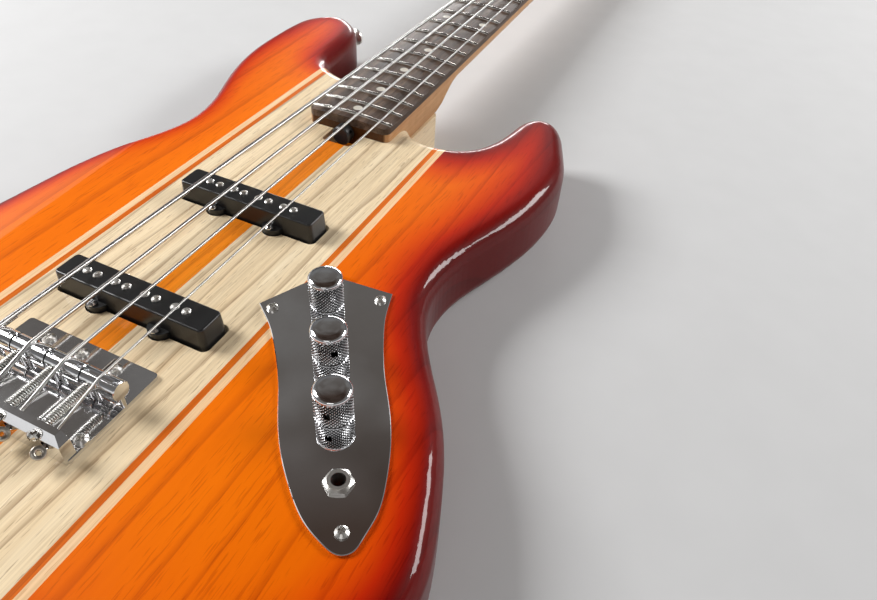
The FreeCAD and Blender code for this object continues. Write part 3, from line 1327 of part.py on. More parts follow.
# Tuners, each in its own frame: post on Z through the origin, head's back at Z 0, key towards -X
WORM_PITCH = math.pi * WORM_MODULE
WORM_TURNS = 5
WORM_TIP = WORM_PITCH_RADIUS + 0.8 * WORM_MODULE
WORM_ROOT = WORM_PITCH_RADIUS - 1.15 * WORM_MODULE
WHEEL_PITCH_RADIUS = WORM_MODULE * WHEEL_TEETH / 2
CENTRE_DISTANCE = WHEEL_PITCH_RADIUS + WORM_PITCH_RADIUS
WHEEL_TIP = WHEEL_PITCH_RADIUS + 0.8 * WORM_MODULE
WHEEL_ROOT = WHEEL_PITCH_RADIUS - 1.15 * WORM_MODULE
TOOTH_SHARE = 0.32
FLANK = math.tan(math.radians(20))
WHEEL_THICKNESS = 4.0
LUG_GAP = 0.5
WORM_GAP = 0.6
WORM_Z = -TUNER_SHEET - WORM_TIP - WORM_GAP
KEY_SHAFT_RADIUS = 2.2
LUG_THICKNESS = 2.4
LUG_START = WORM_PITCH * WORM_TURNS / 2 + LUG_GAP
LUG_HALF_WIDTH = 4.6
POST_RISE = 20.0
POST_STEP = 0.8
POST_FOOT = 0.6
POST_SLOT = (2.9, 6.0)
POST_WELL = (1.6, 12.0)
COLLAR = (3.4, 3.0)
COLLAR_GAP = 0.2
SHAFT_PAST_LUG = 0.8
LEAF_OVERHANG = 11.0
LEAF_THICKNESS = 3.2
LEAF_LOBE = (9.0, 6.5)
LEAF_TIP = (8.0, 14.0)
LEAF_EDGE = 0.9
BUSH_SLEEVE = 8.0


def tuner_plate():
    x_low, x_high, y_low, y_high = TUNER_PLATE
    plate = block(x_low, x_high, y_low, y_high, -TUNER_SHEET, 0)
    plate = round_upright_edges(plate, TUNER_CORNER, lambda p: True)
    lugs = []
    for side in (-1, 1):
        x_first = side * LUG_START
        x_last = side * (LUG_START + LUG_THICKNESS)
        lug = block(min(x_first, x_last), max(x_first, x_last), -CENTRE_DISTANCE - LUG_HALF_WIDTH,
                    -CENTRE_DISTANCE + LUG_HALF_WIDTH, WORM_Z, -TUNER_SHEET)
        nose = Part.makeCylinder(LUG_HALF_WIDTH, LUG_THICKNESS,
                                 Vector(min(x_first, x_last), -CENTRE_DISTANCE, WORM_Z), ACROSS)
        lugs += [lug, nose]
    plate = plate.fuse(lugs).removeSplitter()
    plate = plate.cut(Part.makeCylinder(POST_RADIUS + RUN_FIT, 10, Vector(0, 0, -5)))
    shaft_hole = Vector(-30, -CENTRE_DISTANCE, WORM_Z)
    plate = plate.cut(Part.makeCylinder(KEY_SHAFT_RADIUS + RUN_FIT, 60, shaft_hole, ACROSS))
    for x, y in TUNER_SCREWS:
        plate = plate.cut(Part.makeCylinder(TUNER_SCREW_RADIUS + THROUGH_FIT, 10, Vector(x, y, -5)))
    return plate


def worm_wheel():
    low = WORM_Z - WHEEL_THICKNESS / 2
    wheel = Part.makeCylinder(WHEEL_TIP, WHEEL_THICKNESS, Vector(0, 0, low))
    lead = WORM_PITCH / (2 * math.pi * WORM_PITCH_RADIUS)
    gap_half = WORM_PITCH * (1 - TOOTH_SHARE) / 2
    depth = WHEEL_TIP - WHEEL_ROOT + 0.5
    outer_half = gap_half + (WHEEL_TIP - WHEEL_PITCH_RADIUS + 0.5) * FLANK
    inner_half = gap_half - (WHEEL_PITCH_RADIUS - WHEEL_ROOT) * FLANK
    y_out = -WHEEL_TIP - 0.5
    corners = [Vector(-outer_half, y_out, 0), Vector(outer_half, y_out, 0),
               Vector(inner_half, y_out + depth, 0), Vector(-inner_half, y_out + depth, 0)]
    face = Part.Face(Part.makePolygon(corners + corners[:1]))
    reach = WHEEL_THICKNESS + 1
    slant = Vector(-lead, 0, 1)
    face.translate(slant * (-reach / 2) + UP * WORM_Z)
    gap = face.extrude(slant * reach)
    gaps = []
    for tooth in range(WHEEL_TEETH):
        cutter = gap.copy()
        cutter.rotate(Vector(), UP, 360 / WHEEL_TEETH * tooth)
        gaps.append(cutter)
    wheel = wheel.cut(gaps)
    return wheel.cut(Part.makeCylinder(POST_RADIUS - POST_STEP, 30, Vector(0, 0, low - 10)))


def tuner_post():
    """A slotted string post whose lower end carries the worm wheel."""
    wheel_low = WORM_Z - WHEEL_THICKNESS / 2
    wheel_high = WORM_Z + WHEEL_THICKNESS / 2
    top = HEAD_THICKNESS + POST_RISE
    neck_low = HEAD_THICKNESS + BUSH_FLANGE + 1.5
    spool = POST_RADIUS
    end = POST_RADIUS - POST_STEP - PRESS_FIT
    foot = wheel_low - POST_FOOT
    profile = [(0, foot), (end - POST_FOOT, foot), (end, wheel_low), (end, wheel_high),
               (spool, wheel_high), (spool, neck_low), (spool - 0.4, neck_low + 2), (spool - 0.4, top - 5),
               (spool, top - 3), (spool, top - POST_FOOT), (spool - POST_FOOT, top), (0, top)]
    post = turned(profile, Vector(), UP)
    slot_width, slot_depth = POST_SLOT
    well_radius, well_depth = POST_WELL
    slot = Part.makeBox(30, slot_width, slot_depth + 2, Vector(-15, -slot_width / 2, top - slot_depth))
    well = Part.makeCylinder(well_radius, well_depth + 2, Vector(0, 0, top - well_depth))
    return post.cut([slot, well])


def tuner_key():
    """Key shaft with its worm and a two-lobed leaf."""
    half = WORM_PITCH * WORM_TURNS / 2
    right = LUG_START + LUG_THICKNESS + SHAFT_PAST_LUG
    leaf_start = HEAD_EDGE_TO_POSTS + LEAF_OVERHANG
    collar_radius, collar_length = COLLAR
    collar_start = Vector(-LUG_START - LUG_THICKNESS - COLLAR_GAP - collar_length, 0, 0)
    shaft = Part.makeCylinder(KEY_SHAFT_RADIUS, right + leaf_start, Vector(-leaf_start, 0, 0), ACROSS)
    core = Part.makeCylinder(WORM_ROOT, 2 * half, Vector(-half, 0, 0), ACROSS)
    collar = Part.makeCylinder(collar_radius, collar_length, collar_start, ACROSS)
    key = shaft.fuse([core, collar, worm_thread(), key_leaf(leaf_start)])
    key.translate(Vector(0, -CENTRE_DISTANCE, WORM_Z))
    return key


def worm_thread():
    """A right-handed thread with a ridge at the middle of the side that faces the wheel."""
    base_half = WORM_PITCH * TOOTH_SHARE / 2 + (WORM_PITCH_RADIUS - WORM_ROOT + 0.3) * FLANK
    tip_half = WORM_PITCH * TOOTH_SHARE / 2 - (WORM_TIP - WORM_PITCH_RADIUS) * FLANK
    inner = WORM_ROOT - 0.3
    turns = WORM_TURNS - 1
    helix = Part.makeHelix(WORM_PITCH, WORM_PITCH * turns, WORM_PITCH_RADIUS)
    corners = [Vector(inner, 0, -base_half), Vector(WORM_TIP, 0, -tip_half), Vector(WORM_TIP, 0, tip_half),
               Vector(inner, 0, base_half)]
    section = Part.makePolygon(corners + corners[:1])
    thread = Part.Wire(helix).makePipeShell([section], True, True)
    thread.translate(UP * (-WORM_PITCH * (turns // 2)))
    thread.Placement = Placement(Vector(), Rotation(ALONG, UP, ACROSS, "ZXY")).multiply(thread.Placement)
    return thread


def key_leaf(start):
    """The flat leaf that the fingers turn, on a short neck."""
    low = -LEAF_THICKNESS / 2
    lobe_radius, lobe_side = LEAF_LOBE
    tip_radius, tip_reach = LEAF_TIP
    lobes = [Part.makeCylinder(lobe_radius, LEAF_THICKNESS, Vector(-start - lobe_radius, y, low))
             for y in (-lobe_side, lobe_side)]
    tip = Part.makeCylinder(tip_radius, LEAF_THICKNESS, Vector(-start - tip_reach, 0, low))
    leaf = lobes[0].fuse([lobes[1], tip]).removeSplitter()
    rims = [e for e in leaf.Edges if e.BoundBox.ZLength < 1e-6]
    leaf = leaf.makeFillet(LEAF_EDGE, rims)
    stem = Part.makeCone(3.4, 2.0, 7.0, Vector(-start + 3, 0, 0), ACROSS * -1)
    return leaf.fuse(stem)


def build_tuners():
    plate = tuner_plate()
    post = tuner_post()
    wheel = worm_wheel()
    key = tuner_key()
    sleeve_low = Vector(0, 0, HEAD_THICKNESS - BUSH_SLEEVE)
    bush = Part.makeCylinder(BUSH_RADIUS - PRESS_FIT, BUSH_SLEEVE, sleeve_low)
    bush = bush.fuse(Part.makeCylinder(BUSH_FLANGE_RADIUS, BUSH_FLANGE, Vector(0, 0, HEAD_THICKNESS)))
    bush = bush.cut(Part.makeCylinder(POST_RADIUS + RUN_FIT, 2 * BUSH_SLEEVE, sleeve_low - UP))
    screws = [screw(Vector(x, y, -TUNER_SHEET), UP * -1, TUNER_SCREW_HEAD, TUNER_SCREW_RADIUS,
                    TUNER_SCREW_LENGTH)
              for x, y in TUNER_SCREWS]
    indexes = range(4)
    save("tuner_plates", [in_head(plate, i) for i in indexes])
    save("tuner_bushings", [in_head(bush, i) for i in indexes])
    save("tuner_screws", [in_head(s, i) for i in indexes for s in screws])
    for index, name in enumerate(STRING_NAMES):
        save("tuner_post_" + name, [in_head(post, index), in_head(wheel, index)])
        save("tuner_key_" + name, [in_head(key, index)])


def build_string_tree():
    place = tree_place()
    high = TREE_UNDERSIDE + TREE_CAP
    tree = turned([(0, 0), (TREE_STEM, 0), (TREE_STEM, TREE_UNDERSIDE), (TREE_RADIUS, TREE_UNDERSIDE),
                   (TREE_RADIUS, TREE_UNDERSIDE + 1), (TREE_RADIUS - 1, high), (0, high)], place, UP)
    tree = tree.cut(Part.makeCylinder(TREE_SCREW_RADIUS + SCREW_FIT, 30, place - UP))
    bolt = screw(place + UP * high, UP, TREE_SCREW_HEAD, TREE_SCREW_RADIUS, TREE_SCREW_BITE + high)
    save("string_tree", [tree, bolt])


body_wire = build_body()
build_strap_buttons(body_wire)
build_neck()
build_board()
build_nut()
build_bridge()
build_pickups()
build_controls()
build_tuners()
build_string_tree()
build_strings()
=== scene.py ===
import math

import bmesh
import bpy
from mathutils import Matrix, Vector
from mathutils.kdtree import KDTree


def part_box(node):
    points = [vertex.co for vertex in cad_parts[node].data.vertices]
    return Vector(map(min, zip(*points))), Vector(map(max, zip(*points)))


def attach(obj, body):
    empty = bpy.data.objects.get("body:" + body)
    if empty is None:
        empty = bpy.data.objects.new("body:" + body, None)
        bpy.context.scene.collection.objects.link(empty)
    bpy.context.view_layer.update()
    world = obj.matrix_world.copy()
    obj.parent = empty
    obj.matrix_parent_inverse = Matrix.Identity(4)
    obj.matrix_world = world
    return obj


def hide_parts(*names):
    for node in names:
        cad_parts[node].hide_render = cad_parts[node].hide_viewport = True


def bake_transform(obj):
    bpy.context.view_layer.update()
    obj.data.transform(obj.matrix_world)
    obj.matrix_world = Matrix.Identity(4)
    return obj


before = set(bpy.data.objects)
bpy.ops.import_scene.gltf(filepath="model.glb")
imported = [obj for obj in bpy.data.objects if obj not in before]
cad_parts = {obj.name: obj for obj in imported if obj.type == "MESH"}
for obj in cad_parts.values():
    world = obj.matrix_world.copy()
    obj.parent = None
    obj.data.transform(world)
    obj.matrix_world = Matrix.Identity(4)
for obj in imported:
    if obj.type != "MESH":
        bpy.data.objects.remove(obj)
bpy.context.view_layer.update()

# Core of the body
# Pale open-grained planks with an orange stripe between them run from the neck pocket to the tail.
# They are glued edge to edge, planed flat and lie under a thick clear gloss.
MM = 0.001
WHITE = (1, 1, 1, 1)
BLACK = (0, 0, 0, 1)
BARE_SHINE = 0.5
COATED_SHINE = 0.05
GLOSS_ROUGHNESS = 0.03
PLANK_ROUGHNESS = 0.38
PLANK_COAT = 0.6
STREAK_SCALE = 120
LINE_SCALE = 26
LINE_WANDER = 9
FIBRE_SCALE = 1100
FIBRE_SHADE = (0.55, 0.47, 0.38, 1)
FIBRE_AMOUNT = 0.36
PORE_SCALE = 1500
PORE_AMOUNT = 0.42
RIPPLE_SCALE = 400
RIPPLE_DEPTH = 0.04 * MM


def tint(red, green, blue):
    """A colour as a screen shows it, 0 to 255, in linear light."""

    def linear(level):
        share = level / 255
        if share <= 0.04045:
            return share / 12.92
        return ((share + 0.055) / 1.055) ** 2.4

    return (linear(red), linear(green), linear(blue), 1.0)


def new_finish(name, roughness, metal=0.0, coat=0.0):
    finish = bpy.data.materials.new(name)
    finish.use_nodes = True
    surface = finish.node_tree.nodes["Principled BSDF"]
    surface.inputs["Roughness"].default_value = roughness
    surface.inputs["Metallic"].default_value = metal
    surface.inputs["Specular IOR Level"].default_value = BARE_SHINE if coat == 0.0 else COATED_SHINE
    surface.inputs["Coat Weight"].default_value = coat
    surface.inputs["Coat Roughness"].default_value = GLOSS_ROUGHNESS
    return finish


def add_node(finish, kind, settings=None, values=None):
    made = finish.node_tree.nodes.new(kind)
    for key, value in (settings or {}).items():
        setattr(made, key, value)
    for key, value in (values or {}).items():
        made.inputs[key].default_value = value
    return made


def link(finish, source, target):
    finish.node_tree.links.new(source, target)


def to_surface(finish, source, socket):
    link(finish, source, finish.node_tree.nodes["Principled BSDF"].inputs[socket])


def stretched(finish, draw=1, turn=(0, 0, 0)):
    """Places on the instrument, drawn out along the grain where draw is below 1."""
    place = add_node(finish, "ShaderNodeTexCoord")
    mapping = add_node(finish, "ShaderNodeMapping", values={"Scale": (1, draw, 1), "Rotation": turn})
    link(finish, place.outputs["Object"], mapping.inputs["Vector"])
    return mapping.outputs["Vector"]


def cloud(finish, places, scale, detail=3.0, rough=0.55):
    texture = add_node(finish, "ShaderNodeTexNoise",
                       values={"Scale": scale, "Detail": detail, "Roughness": rough})
    link(finish, places, texture.inputs["Vector"])
    return texture.outputs["Fac"]


def growth_lines(finish, places, scale, wander, detail_scale):
    texture = add_node(finish, "ShaderNodeTexWave",
                       settings={"wave_type": "BANDS", "bands_direction": "X", "wave_profile": "SAW"},
                       values={"Scale": scale, "Distortion": wander, "Detail": 3.0,
                               "Detail Scale": detail_scale, "Detail Roughness": 0.6})
    link(finish, places, texture.inputs["Vector"])
    return texture.outputs["Fac"]


def colour_steps(finish, value, stops):
    steps = add_node(finish, "ShaderNodeValToRGB")
    elements = steps.color_ramp.elements
    while len(elements) < len(stops):
        elements.new(0.5)
    for element, (place, colour) in zip(elements, stops):
        element.position = place
        element.color = colour
    link(finish, value, steps.inputs["Fac"])
    return steps.outputs["Color"]


def scaled(finish, value, factor, start=0.0):
    """A value times a factor, counted from a start."""
    level = add_node(finish, "ShaderNodeMath", {"operation": "MULTIPLY_ADD"}, {1: factor, 2: start})
    link(finish, value, level.inputs[0])
    return level.outputs[0]


def lay_over(finish, mode, amount, under, over):
    """One colour laid over another; amount is a number or a socket."""
    mix = add_node(finish, "ShaderNodeMix", {"data_type": "RGBA", "blend_type": mode})
    if isinstance(amount, float):
        mix.inputs[0].default_value = amount
    else:
        link(finish, amount, mix.inputs[0])
    for source, socket in ((under, mix.inputs[6]), (over, mix.inputs[7])):
        if isinstance(source, tuple):
            socket.default_value = source
        else:
            link(finish, source, socket)
    return mix.outputs[2]


def relief(finish, height, depth):
    bump = add_node(finish, "ShaderNodeBump", values={"Distance": depth, "Strength": 1.0})
    link(finish, height, bump.inputs["Height"])
    to_surface(finish, bump.outputs["Normal"], "Normal")


def grained_wood(finish, ground, streaks, line_colour, line_amount):
    """Colour of a plank: soft streaks, growth lines and short open pores along the grain."""
    broad = cloud(finish, stretched(finish, draw=0.05), STREAK_SCALE, detail=4, rough=0.6)
    base = colour_steps(finish, broad, [(0.30, ground), (0.72, streaks)])
    lines = growth_lines(finish, stretched(finish, draw=0.10), LINE_SCALE, LINE_WANDER, detail_scale=0.8)
    sharp = colour_steps(finish, lines, [(0.74, BLACK), (0.96, WHITE), (1.0, BLACK)])
    base = lay_over(finish, "MIX", scaled(finish, sharp, line_amount), base, line_colour)
    fibres = cloud(finish, stretched(finish, draw=0.02), FIBRE_SCALE, detail=3, rough=0.6)
    fibre_shade = colour_steps(finish, fibres, [(0.35, FIBRE_SHADE), (0.60, WHITE)])
    base = lay_over(finish, "MULTIPLY", FIBRE_AMOUNT, base, fibre_shade)
    pores = cloud(finish, stretched(finish, draw=0.07), PORE_SCALE, detail=1, rough=0.4)
    dashes = colour_steps(finish, pores, [(0.66, BLACK), (0.72, WHITE)])
    return lay_over(finish, "MIX", scaled(finish, dashes, PORE_AMOUNT), base, line_colour)


def gloss_ripple(finish):
    """The faint unevenness of polished gloss."""
    ripple = cloud(finish, stretched(finish, draw=0.3), RIPPLE_SCALE, detail=2)
    relief(finish, ripple, RIPPLE_DEPTH)


def lacquered(name, ground, streaks, line_colour, line_amount):
    """Grained wood under gloss."""
    finish = new_finish(name, PLANK_ROUGHNESS, coat=PLANK_COAT)
    to_surface(finish, grained_wood(finish, ground, streaks, line_colour, line_amount), "Base Color")
    gloss_ripple(finish)
    return finish


dressed = set()


def dress(node, finish):
    """Give a CAD node its finish."""
    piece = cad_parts[node]
    if not piece.material_slots:
        piece.data.materials.append(finish)
    for place in piece.material_slots:
        place.material = finish
    dressed.add(node)
    return piece


dress("core_planks", lacquered(
    "pale_plank", ground=tint(251, 232, 197), streaks=tint(240, 215, 175),
    line_colour=tint(140, 104, 72), line_amount=0.55))
dress("core_center_stripe", lacquered(
    "orange_stripe", ground=tint(250, 148, 30), streaks=tint(236, 124, 18),
    line_colour=tint(170, 78, 14), line_amount=0.35))

# Strips beside the core
# A thin orange-red strip and a pale maple strip run along each side of the core.
# They are veneers glued between the core and the wings, under the same gloss.
dress("accent_strips", lacquered(
    "orange_strip", ground=tint(230, 120, 30), streaks=tint(212, 98, 20),
    line_colour=tint(150, 60, 14), line_amount=0.25))
dress("maple_strips", lacquered(
    "maple_strip", ground=tint(250, 214, 170), streaks=tint(244, 200, 150),
    line_colour=tint(204, 150, 100), line_amount=0.20))

# Wings of the body
# Two wide boards with bold growth lines carry the horns, the waist and the lower bout.
# A clear stain goes from amber in the middle to red and deep cherry at the rim, under thick gloss.
GRID_STEP = 5 * MM
WELD = 1e-6
FLAT_ANGLE = 0.002
WALL_SAMPLE = 1.5 * MM
WALL_TILT = 0.06
GLUED_FACING = 0.999
CAVITY_REACH = 36 * MM
BURST_REACH_BASS = 40 * MM
BURST_REACH_TREBLE = 80 * MM
BURST_REACH_HORN = 125 * MM
HORN_START = 190 * MM
HORN_END = 290 * MM
BURST_REACH_BASS_HORN = 78 * MM
BASS_HORN_START = 270 * MM
BASS_HORN_END = 390 * MM
SCREW_HOLE = 8 * MM
WING_CREASE = 25
WING_ROUGHNESS = 0.35
WING_COAT = 0.4
WING_LINE_TURN = (0, 0, 0.10)
STAIN_STEPS = [
    (0.00, tint(92, 8, 6)), (0.10, tint(124, 14, 8)), (0.20, tint(186, 38, 5)),
    (0.34, tint(220, 78, 2)), (0.52, tint(234, 105, 1)), (1.0, tint(241, 116, 1))]
GLUE_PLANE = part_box("maple_strips")[1][0]
BUTTON_LEVEL = (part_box("strap_buttons")[0][2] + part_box("strap_buttons")[1][2]) / 2


def plan_centre(node):
    low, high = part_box(node)
    return Vector(((low[0] + high[0]) / 2, (low[1] + high[1]) / 2, 0))


def share_between(value, start, end):
    return min(1.0, max(0.0, (value - start) / (end - start)))


def off_control_row(point):
    """How far a place lies from the line through knobs and socket, in plan."""
    start = plan_centre("neck_volume_knob")
    run = plan_centre("jack_socket") - start
    flat = Vector((point.x, point.y, 0))
    share = share_between((flat - start).dot(run), 0, run.length_squared)
    return (flat - start - run * share).length


def rim_points(shape):
    """Places on the upright outer wall of a wing."""
    points = []
    for face in shape.faces:
        middle = face.calc_center_median()
        heights = [corner.co.z for corner in face.verts]
        off_button = abs((max(heights) + min(heights)) / 2 - BUTTON_LEVEL)
        screw_hole = max(heights) - min(heights) < SCREW_HOLE and off_button < SCREW_HOLE / 2
        glued = abs(face.normal.x) > GLUED_FACING and abs(abs(middle.x) - GLUE_PLANE) < MM
        leaning = abs(face.normal.z) >= WALL_TILT
        if leaning or glued or screw_hole or off_control_row(middle) < CAVITY_REACH:
            continue
        for edge in face.edges:
            first, last = [corner.co for corner in edge.verts]
            count = max(1, int((last - first).length / WALL_SAMPLE))
            points += [first.lerp(last, step / count) for step in range(count + 1)]
    return points


def welded_shape(node):
    """A CAD node's own shape, with its doubled corners welded."""
    shape = bmesh.new()
    shape.from_mesh(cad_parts[node].data)
    bmesh.ops.remove_doubles(shape, verts=shape.verts, dist=WELD)
    return shape


def join_flat_faces(shape):
    bmesh.ops.dissolve_limit(shape, angle_limit=FLAT_ANGLE, verts=shape.verts, edges=shape.edges)


def saw(shape, place, facing, drop_front=False):
    """Cut a shape along a plane; what lies in front of the plane may drop off."""
    everything = shape.verts[:] + shape.edges[:] + shape.faces[:]
    return bmesh.ops.bisect_plane(shape, geom=everything, dist=WELD, plane_co=place, plane_no=facing,
                                  clear_outer=drop_front)


def into_scene(name, data):
    piece = bpy.data.objects.new(name, data)
    bpy.context.collection.objects.link(piece)
    return piece


def shaped_piece(name, shape):
    mesh = bpy.data.meshes.new(name)
    shape.to_mesh(mesh)
    shape.free()
    return into_scene(name, mesh)


def gridded_wing(node, piece_name):
    """The wing's own shape, cut into a fine grid that can carry the burst, and its rim."""
    shape = welded_shape(node)
    wall = rim_points(shape)
    join_flat_faces(shape)
    low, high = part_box(node)
    for axis in (0, 1):
        facing = Vector((0, 0, 0))
        facing[axis] = 1
        place = low[axis] + GRID_STEP
        while place < high[axis]:
            saw(shape, facing * place, facing)
            place += GRID_STEP
    bmesh.ops.triangulate(shape, faces=[face for face in shape.faces if len(face.verts) > 4])
    return shaped_piece(piece_name, shape), wall


def burst_reach(place):
    """How deep the stain reaches from the rim: deeper on the treble side, most on the horns."""
    across = share_between(place.x, -GLUE_PLANE, GLUE_PLANE)
    along_bass = share_between(place.y, BASS_HORN_START, BASS_HORN_END)
    along_treble = share_between(place.y, HORN_START, HORN_END)
    bass = BURST_REACH_BASS + (BURST_REACH_BASS_HORN - BURST_REACH_BASS) * along_bass
    treble = BURST_REACH_TREBLE + (BURST_REACH_HORN - BURST_REACH_TREBLE) * along_treble
    return bass + (treble - bass) * across


def burst_attribute(mesh, wall):
    """Distance from the rim in plan, as a share of the burst's reach."""
    tree = KDTree(len(wall))
    for index, point in enumerate(wall):
        tree.insert((point.x, point.y, 0), index)
    tree.balance()
    shares = []
    for vertex in mesh.vertices:
        distance = tree.find((vertex.co.x, vertex.co.y, 0))[2]
        shares.append(min(1.0, distance / burst_reach(vertex.co)))
    attribute = mesh.attributes.new("burst", "FLOAT", "POINT")
    attribute.data.foreach_set("value", shares)


def crease(piece, degrees):
    """Smooth shading, with edges above an angle kept sharp."""
    piece.data.shade_smooth()
    piece.data.set_sharp_from_angle(angle=math.radians(degrees))


def crease_flat_faces(piece, degrees):
    """Smooth shading that leaves broad flat faces flat."""
    crease(piece, degrees)
    weighted = piece.modifiers.new("face_weights", "WEIGHTED_NORMAL")
    weighted.keep_sharp = True


def burst_finish():
    finish = new_finish("sunburst", WING_ROUGHNESS, coat=WING_COAT)
    distance = add_node(finish, "ShaderNodeAttribute", {"attribute_name": "burst"}).outputs["Fac"]
    patches = cloud(finish, stretched(finish, draw=0.4), scale=22, detail=2)
    uneven = scaled(finish, patches, factor=0.10, start=-0.05)
    total = add_node(finish, "ShaderNodeMath", {"operation": "ADD"})
    link(finish, distance, total.inputs[0])
    link(finish, uneven, total.inputs[1])
    stain = colour_steps(finish, total.outputs[0], STAIN_STEPS)
    broad = cloud(finish, stretched(finish, draw=0.05), scale=90, detail=4, rough=0.6)
    broad_shade = colour_steps(finish, broad, [(0.34, (0.78, 0.62, 0.50, 1)), (0.62, WHITE)])
    stain = lay_over(finish, "MULTIPLY", 0.25, stain, broad_shade)
    along = stretched(finish, draw=0.11, turn=WING_LINE_TURN)
    lines = growth_lines(finish, along, scale=13, wander=11, detail_scale=0.55)
    sharp = colour_steps(finish, lines, [(0.80, WHITE), (0.97, (0.50, 0.28, 0.14, 1)), (1.0, WHITE)])
    stain = lay_over(finish, "MULTIPLY", 0.42, stain, sharp)
    pores = cloud(finish, stretched(finish, draw=0.06), scale=1300, detail=1, rough=0.4)
    pore_shade = colour_steps(finish, pores, [(0.60, WHITE), (0.70, (0.40, 0.18, 0.10, 1))])
    to_surface(finish, lay_over(finish, "MULTIPLY", 0.30, stain, pore_shade), "Base Color")
    gloss_ripple(finish)
    return finish


wings = {}
for side in ("bass", "treble"):
    wings[side] = gridded_wing("body_wing_" + side, "sunburst_wing_" + side)
wall_points = [point for wing, wall in wings.values() for point in wall]
wing_finish = burst_finish()
for side, (wing, wall) in wings.items():
    burst_attribute(wing.data, wall_points)
    wing.data.materials.append(wing_finish)
    crease_flat_faces(wing, WING_CREASE)
    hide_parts("body_wing_" + side)
    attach(wing, "instrument")

# Bright metal of the fittings
# Saddles, tuners, ferrules and small screws are steel or zinc with a mirror-bright chrome skin.
# Strap buttons, poles, frets, the socket and the screws of bridge and plate are softer, warmer nickel.
STRING_NAMES = ("e", "a", "d", "g")
BROAD_HAZE = 220
FINE_HAZE = 500
HAZE_DEPTH = 0.004 * MM
DULLED = 0.93
EDGE_ANGLE = 35
EDGE_STEPS = 3
SOCKET_EDGE = 0.6 * MM


def plated(name, colour, roughness, haze, scale=BROAD_HAZE):
    """A metal skin with faint haze from handling."""
    finish = new_finish(name, roughness, metal=1.0)
    smears = cloud(finish, stretched(finish), scale, detail=4, rough=0.6)
    to_surface(finish, scaled(finish, smears, haze, roughness), "Roughness")
    dull = tuple(DULLED * level for level in colour[:3]) + (1,)
    to_surface(finish, colour_steps(finish, smears, [(0.3, dull), (0.7, colour)]), "Base Color")
    relief(finish, smears, HAZE_DEPTH)
    return finish


def ease_edges(piece, width):
    """Fine rounded edges that catch the light."""
    rounding = piece.modifiers.new("eased_edges", "BEVEL")
    rounding.width = width
    rounding.segments = EDGE_STEPS
    rounding.limit_method = "ANGLE"
    rounding.angle_limit = math.radians(EDGE_ANGLE)


chrome = plated("chrome", (0.80, 0.80, 0.81, 1), roughness=0.06, haze=0.06)
nickel = plated("nickel", (0.72, 0.70, 0.66, 1), roughness=0.14, haze=0.12, scale=FINE_HAZE)
satin_nickel = plated("satin_nickel", (0.82, 0.80, 0.76, 1), roughness=0.28, haze=0.06, scale=FINE_HAZE)
for node in ("neck_ferrules", "neck_screws", "pickup_screws_bridge", "pickup_screws_neck",
             "tuner_screws", "tuner_plates", "tuner_bushings", "string_tree"):
    dress(node, chrome)
for node in ("bridge_screws", "control_plate_screws", "strap_buttons",
             "pickup_poles_bridge", "pickup_poles_neck"):
    dress(node, satin_nickel)
ease_edges(dress("jack_socket", satin_nickel), SOCKET_EDGE)
dress("frets", nickel)
for name in STRING_NAMES:
    dress("saddle_" + name, chrome)
    dress("intonation_screw_" + name, nickel)
    dress("tuner_post_" + name, chrome)
    dress("tuner_key_" + name, chrome)

# Bridge plate
# A thick plated casting lies on the core and is screwed down through its floor.
# Its lip at the rear holds the ball ends and has a broad slope along its back edge.
LIP_SLOPE = 2.6 * MM
LIP_SLOPE_FACING = Vector((0, -0.819, 0.574))
BRIDGE_EDGE = 0.4 * MM
BRIDGE_CREASE = 25


def sloped_bridge(node, piece_name):
    """The casting's own shape, with the rear edge of the lip planed off."""
    low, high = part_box(node)
    shape = welded_shape(node)
    join_flat_faces(shape)
    cut = saw(shape, (0, low[1] + LIP_SLOPE, high[2]), LIP_SLOPE_FACING, drop_front=True)
    rim = [part for part in cut["geom_cut"] if isinstance(part, bmesh.types.BMEdge)]
    bmesh.ops.edgenet_fill(shape, edges=rim)
    bmesh.ops.recalc_face_normals(shape, faces=shape.faces)
    return shaped_piece(piece_name, shape)


bridge = sloped_bridge("bridge_plate", "sloped_bridge_plate")
bridge.data.materials.append(chrome)
ease_edges(bridge, BRIDGE_EDGE)
crease_flat_faces(bridge, BRIDGE_CREASE)
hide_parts("bridge_plate")
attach(bridge, "instrument")

# Neck and truss rod
# A maple neck, with darker end grain and painted shade on its face towards the tail, is screwed into the
# pocket and carries the flat head.
# A steel rod in it ends at the heel in a black wheel with holes for a pin.
END_GRAIN_AND_SHADE = (0.16, 0.11, 0.08, 1)
FLAME_SHADE = (0.86, 0.82, 0.76, 1)
BLACK_LOW = (0.7, 0.7, 0.72)
BLACK_HIGH = (1.4, 1.4, 1.42)


def maple_neck_finish():
    finish = new_finish("satin_maple", roughness=0.34, coat=0.35)
    wood = grained_wood(finish, ground=tint(204, 158, 112), streaks=tint(188, 140, 94),
                        line_colour=tint(146, 98, 58), line_amount=0.22)
    flame = cloud(finish, stretched(finish, draw=3), scale=60, detail=2)
    flame_shade = colour_steps(finish, flame, [(0.35, FLAME_SHADE), (0.65, WHITE)])
    wood = lay_over(finish, "MULTIPLY", 0.5, wood, flame_shade)
    # Faces towards the tail are darkened: partly the end grain's own darker tone, partly painted shade of
    # the end face under the board's overhang.
    facing = add_node(finish, "ShaderNodeSeparateXYZ")
    link(finish, add_node(finish, "ShaderNodeTexCoord").outputs["Normal"], facing.inputs[0])
    towards_tail = scaled(finish, facing.outputs["Y"], -1.0)
    end_grain_and_shade = colour_steps(finish, towards_tail, [(0.80, WHITE), (0.96, END_GRAIN_AND_SHADE)])
    to_surface(finish, lay_over(finish, "MULTIPLY", 1.0, wood, end_grain_and_shade), "Base Color")
    fibres = cloud(finish, stretched(finish, draw=0.05), scale=900, detail=2)
    relief(finish, fibres, depth=0.03 * MM)
    return finish


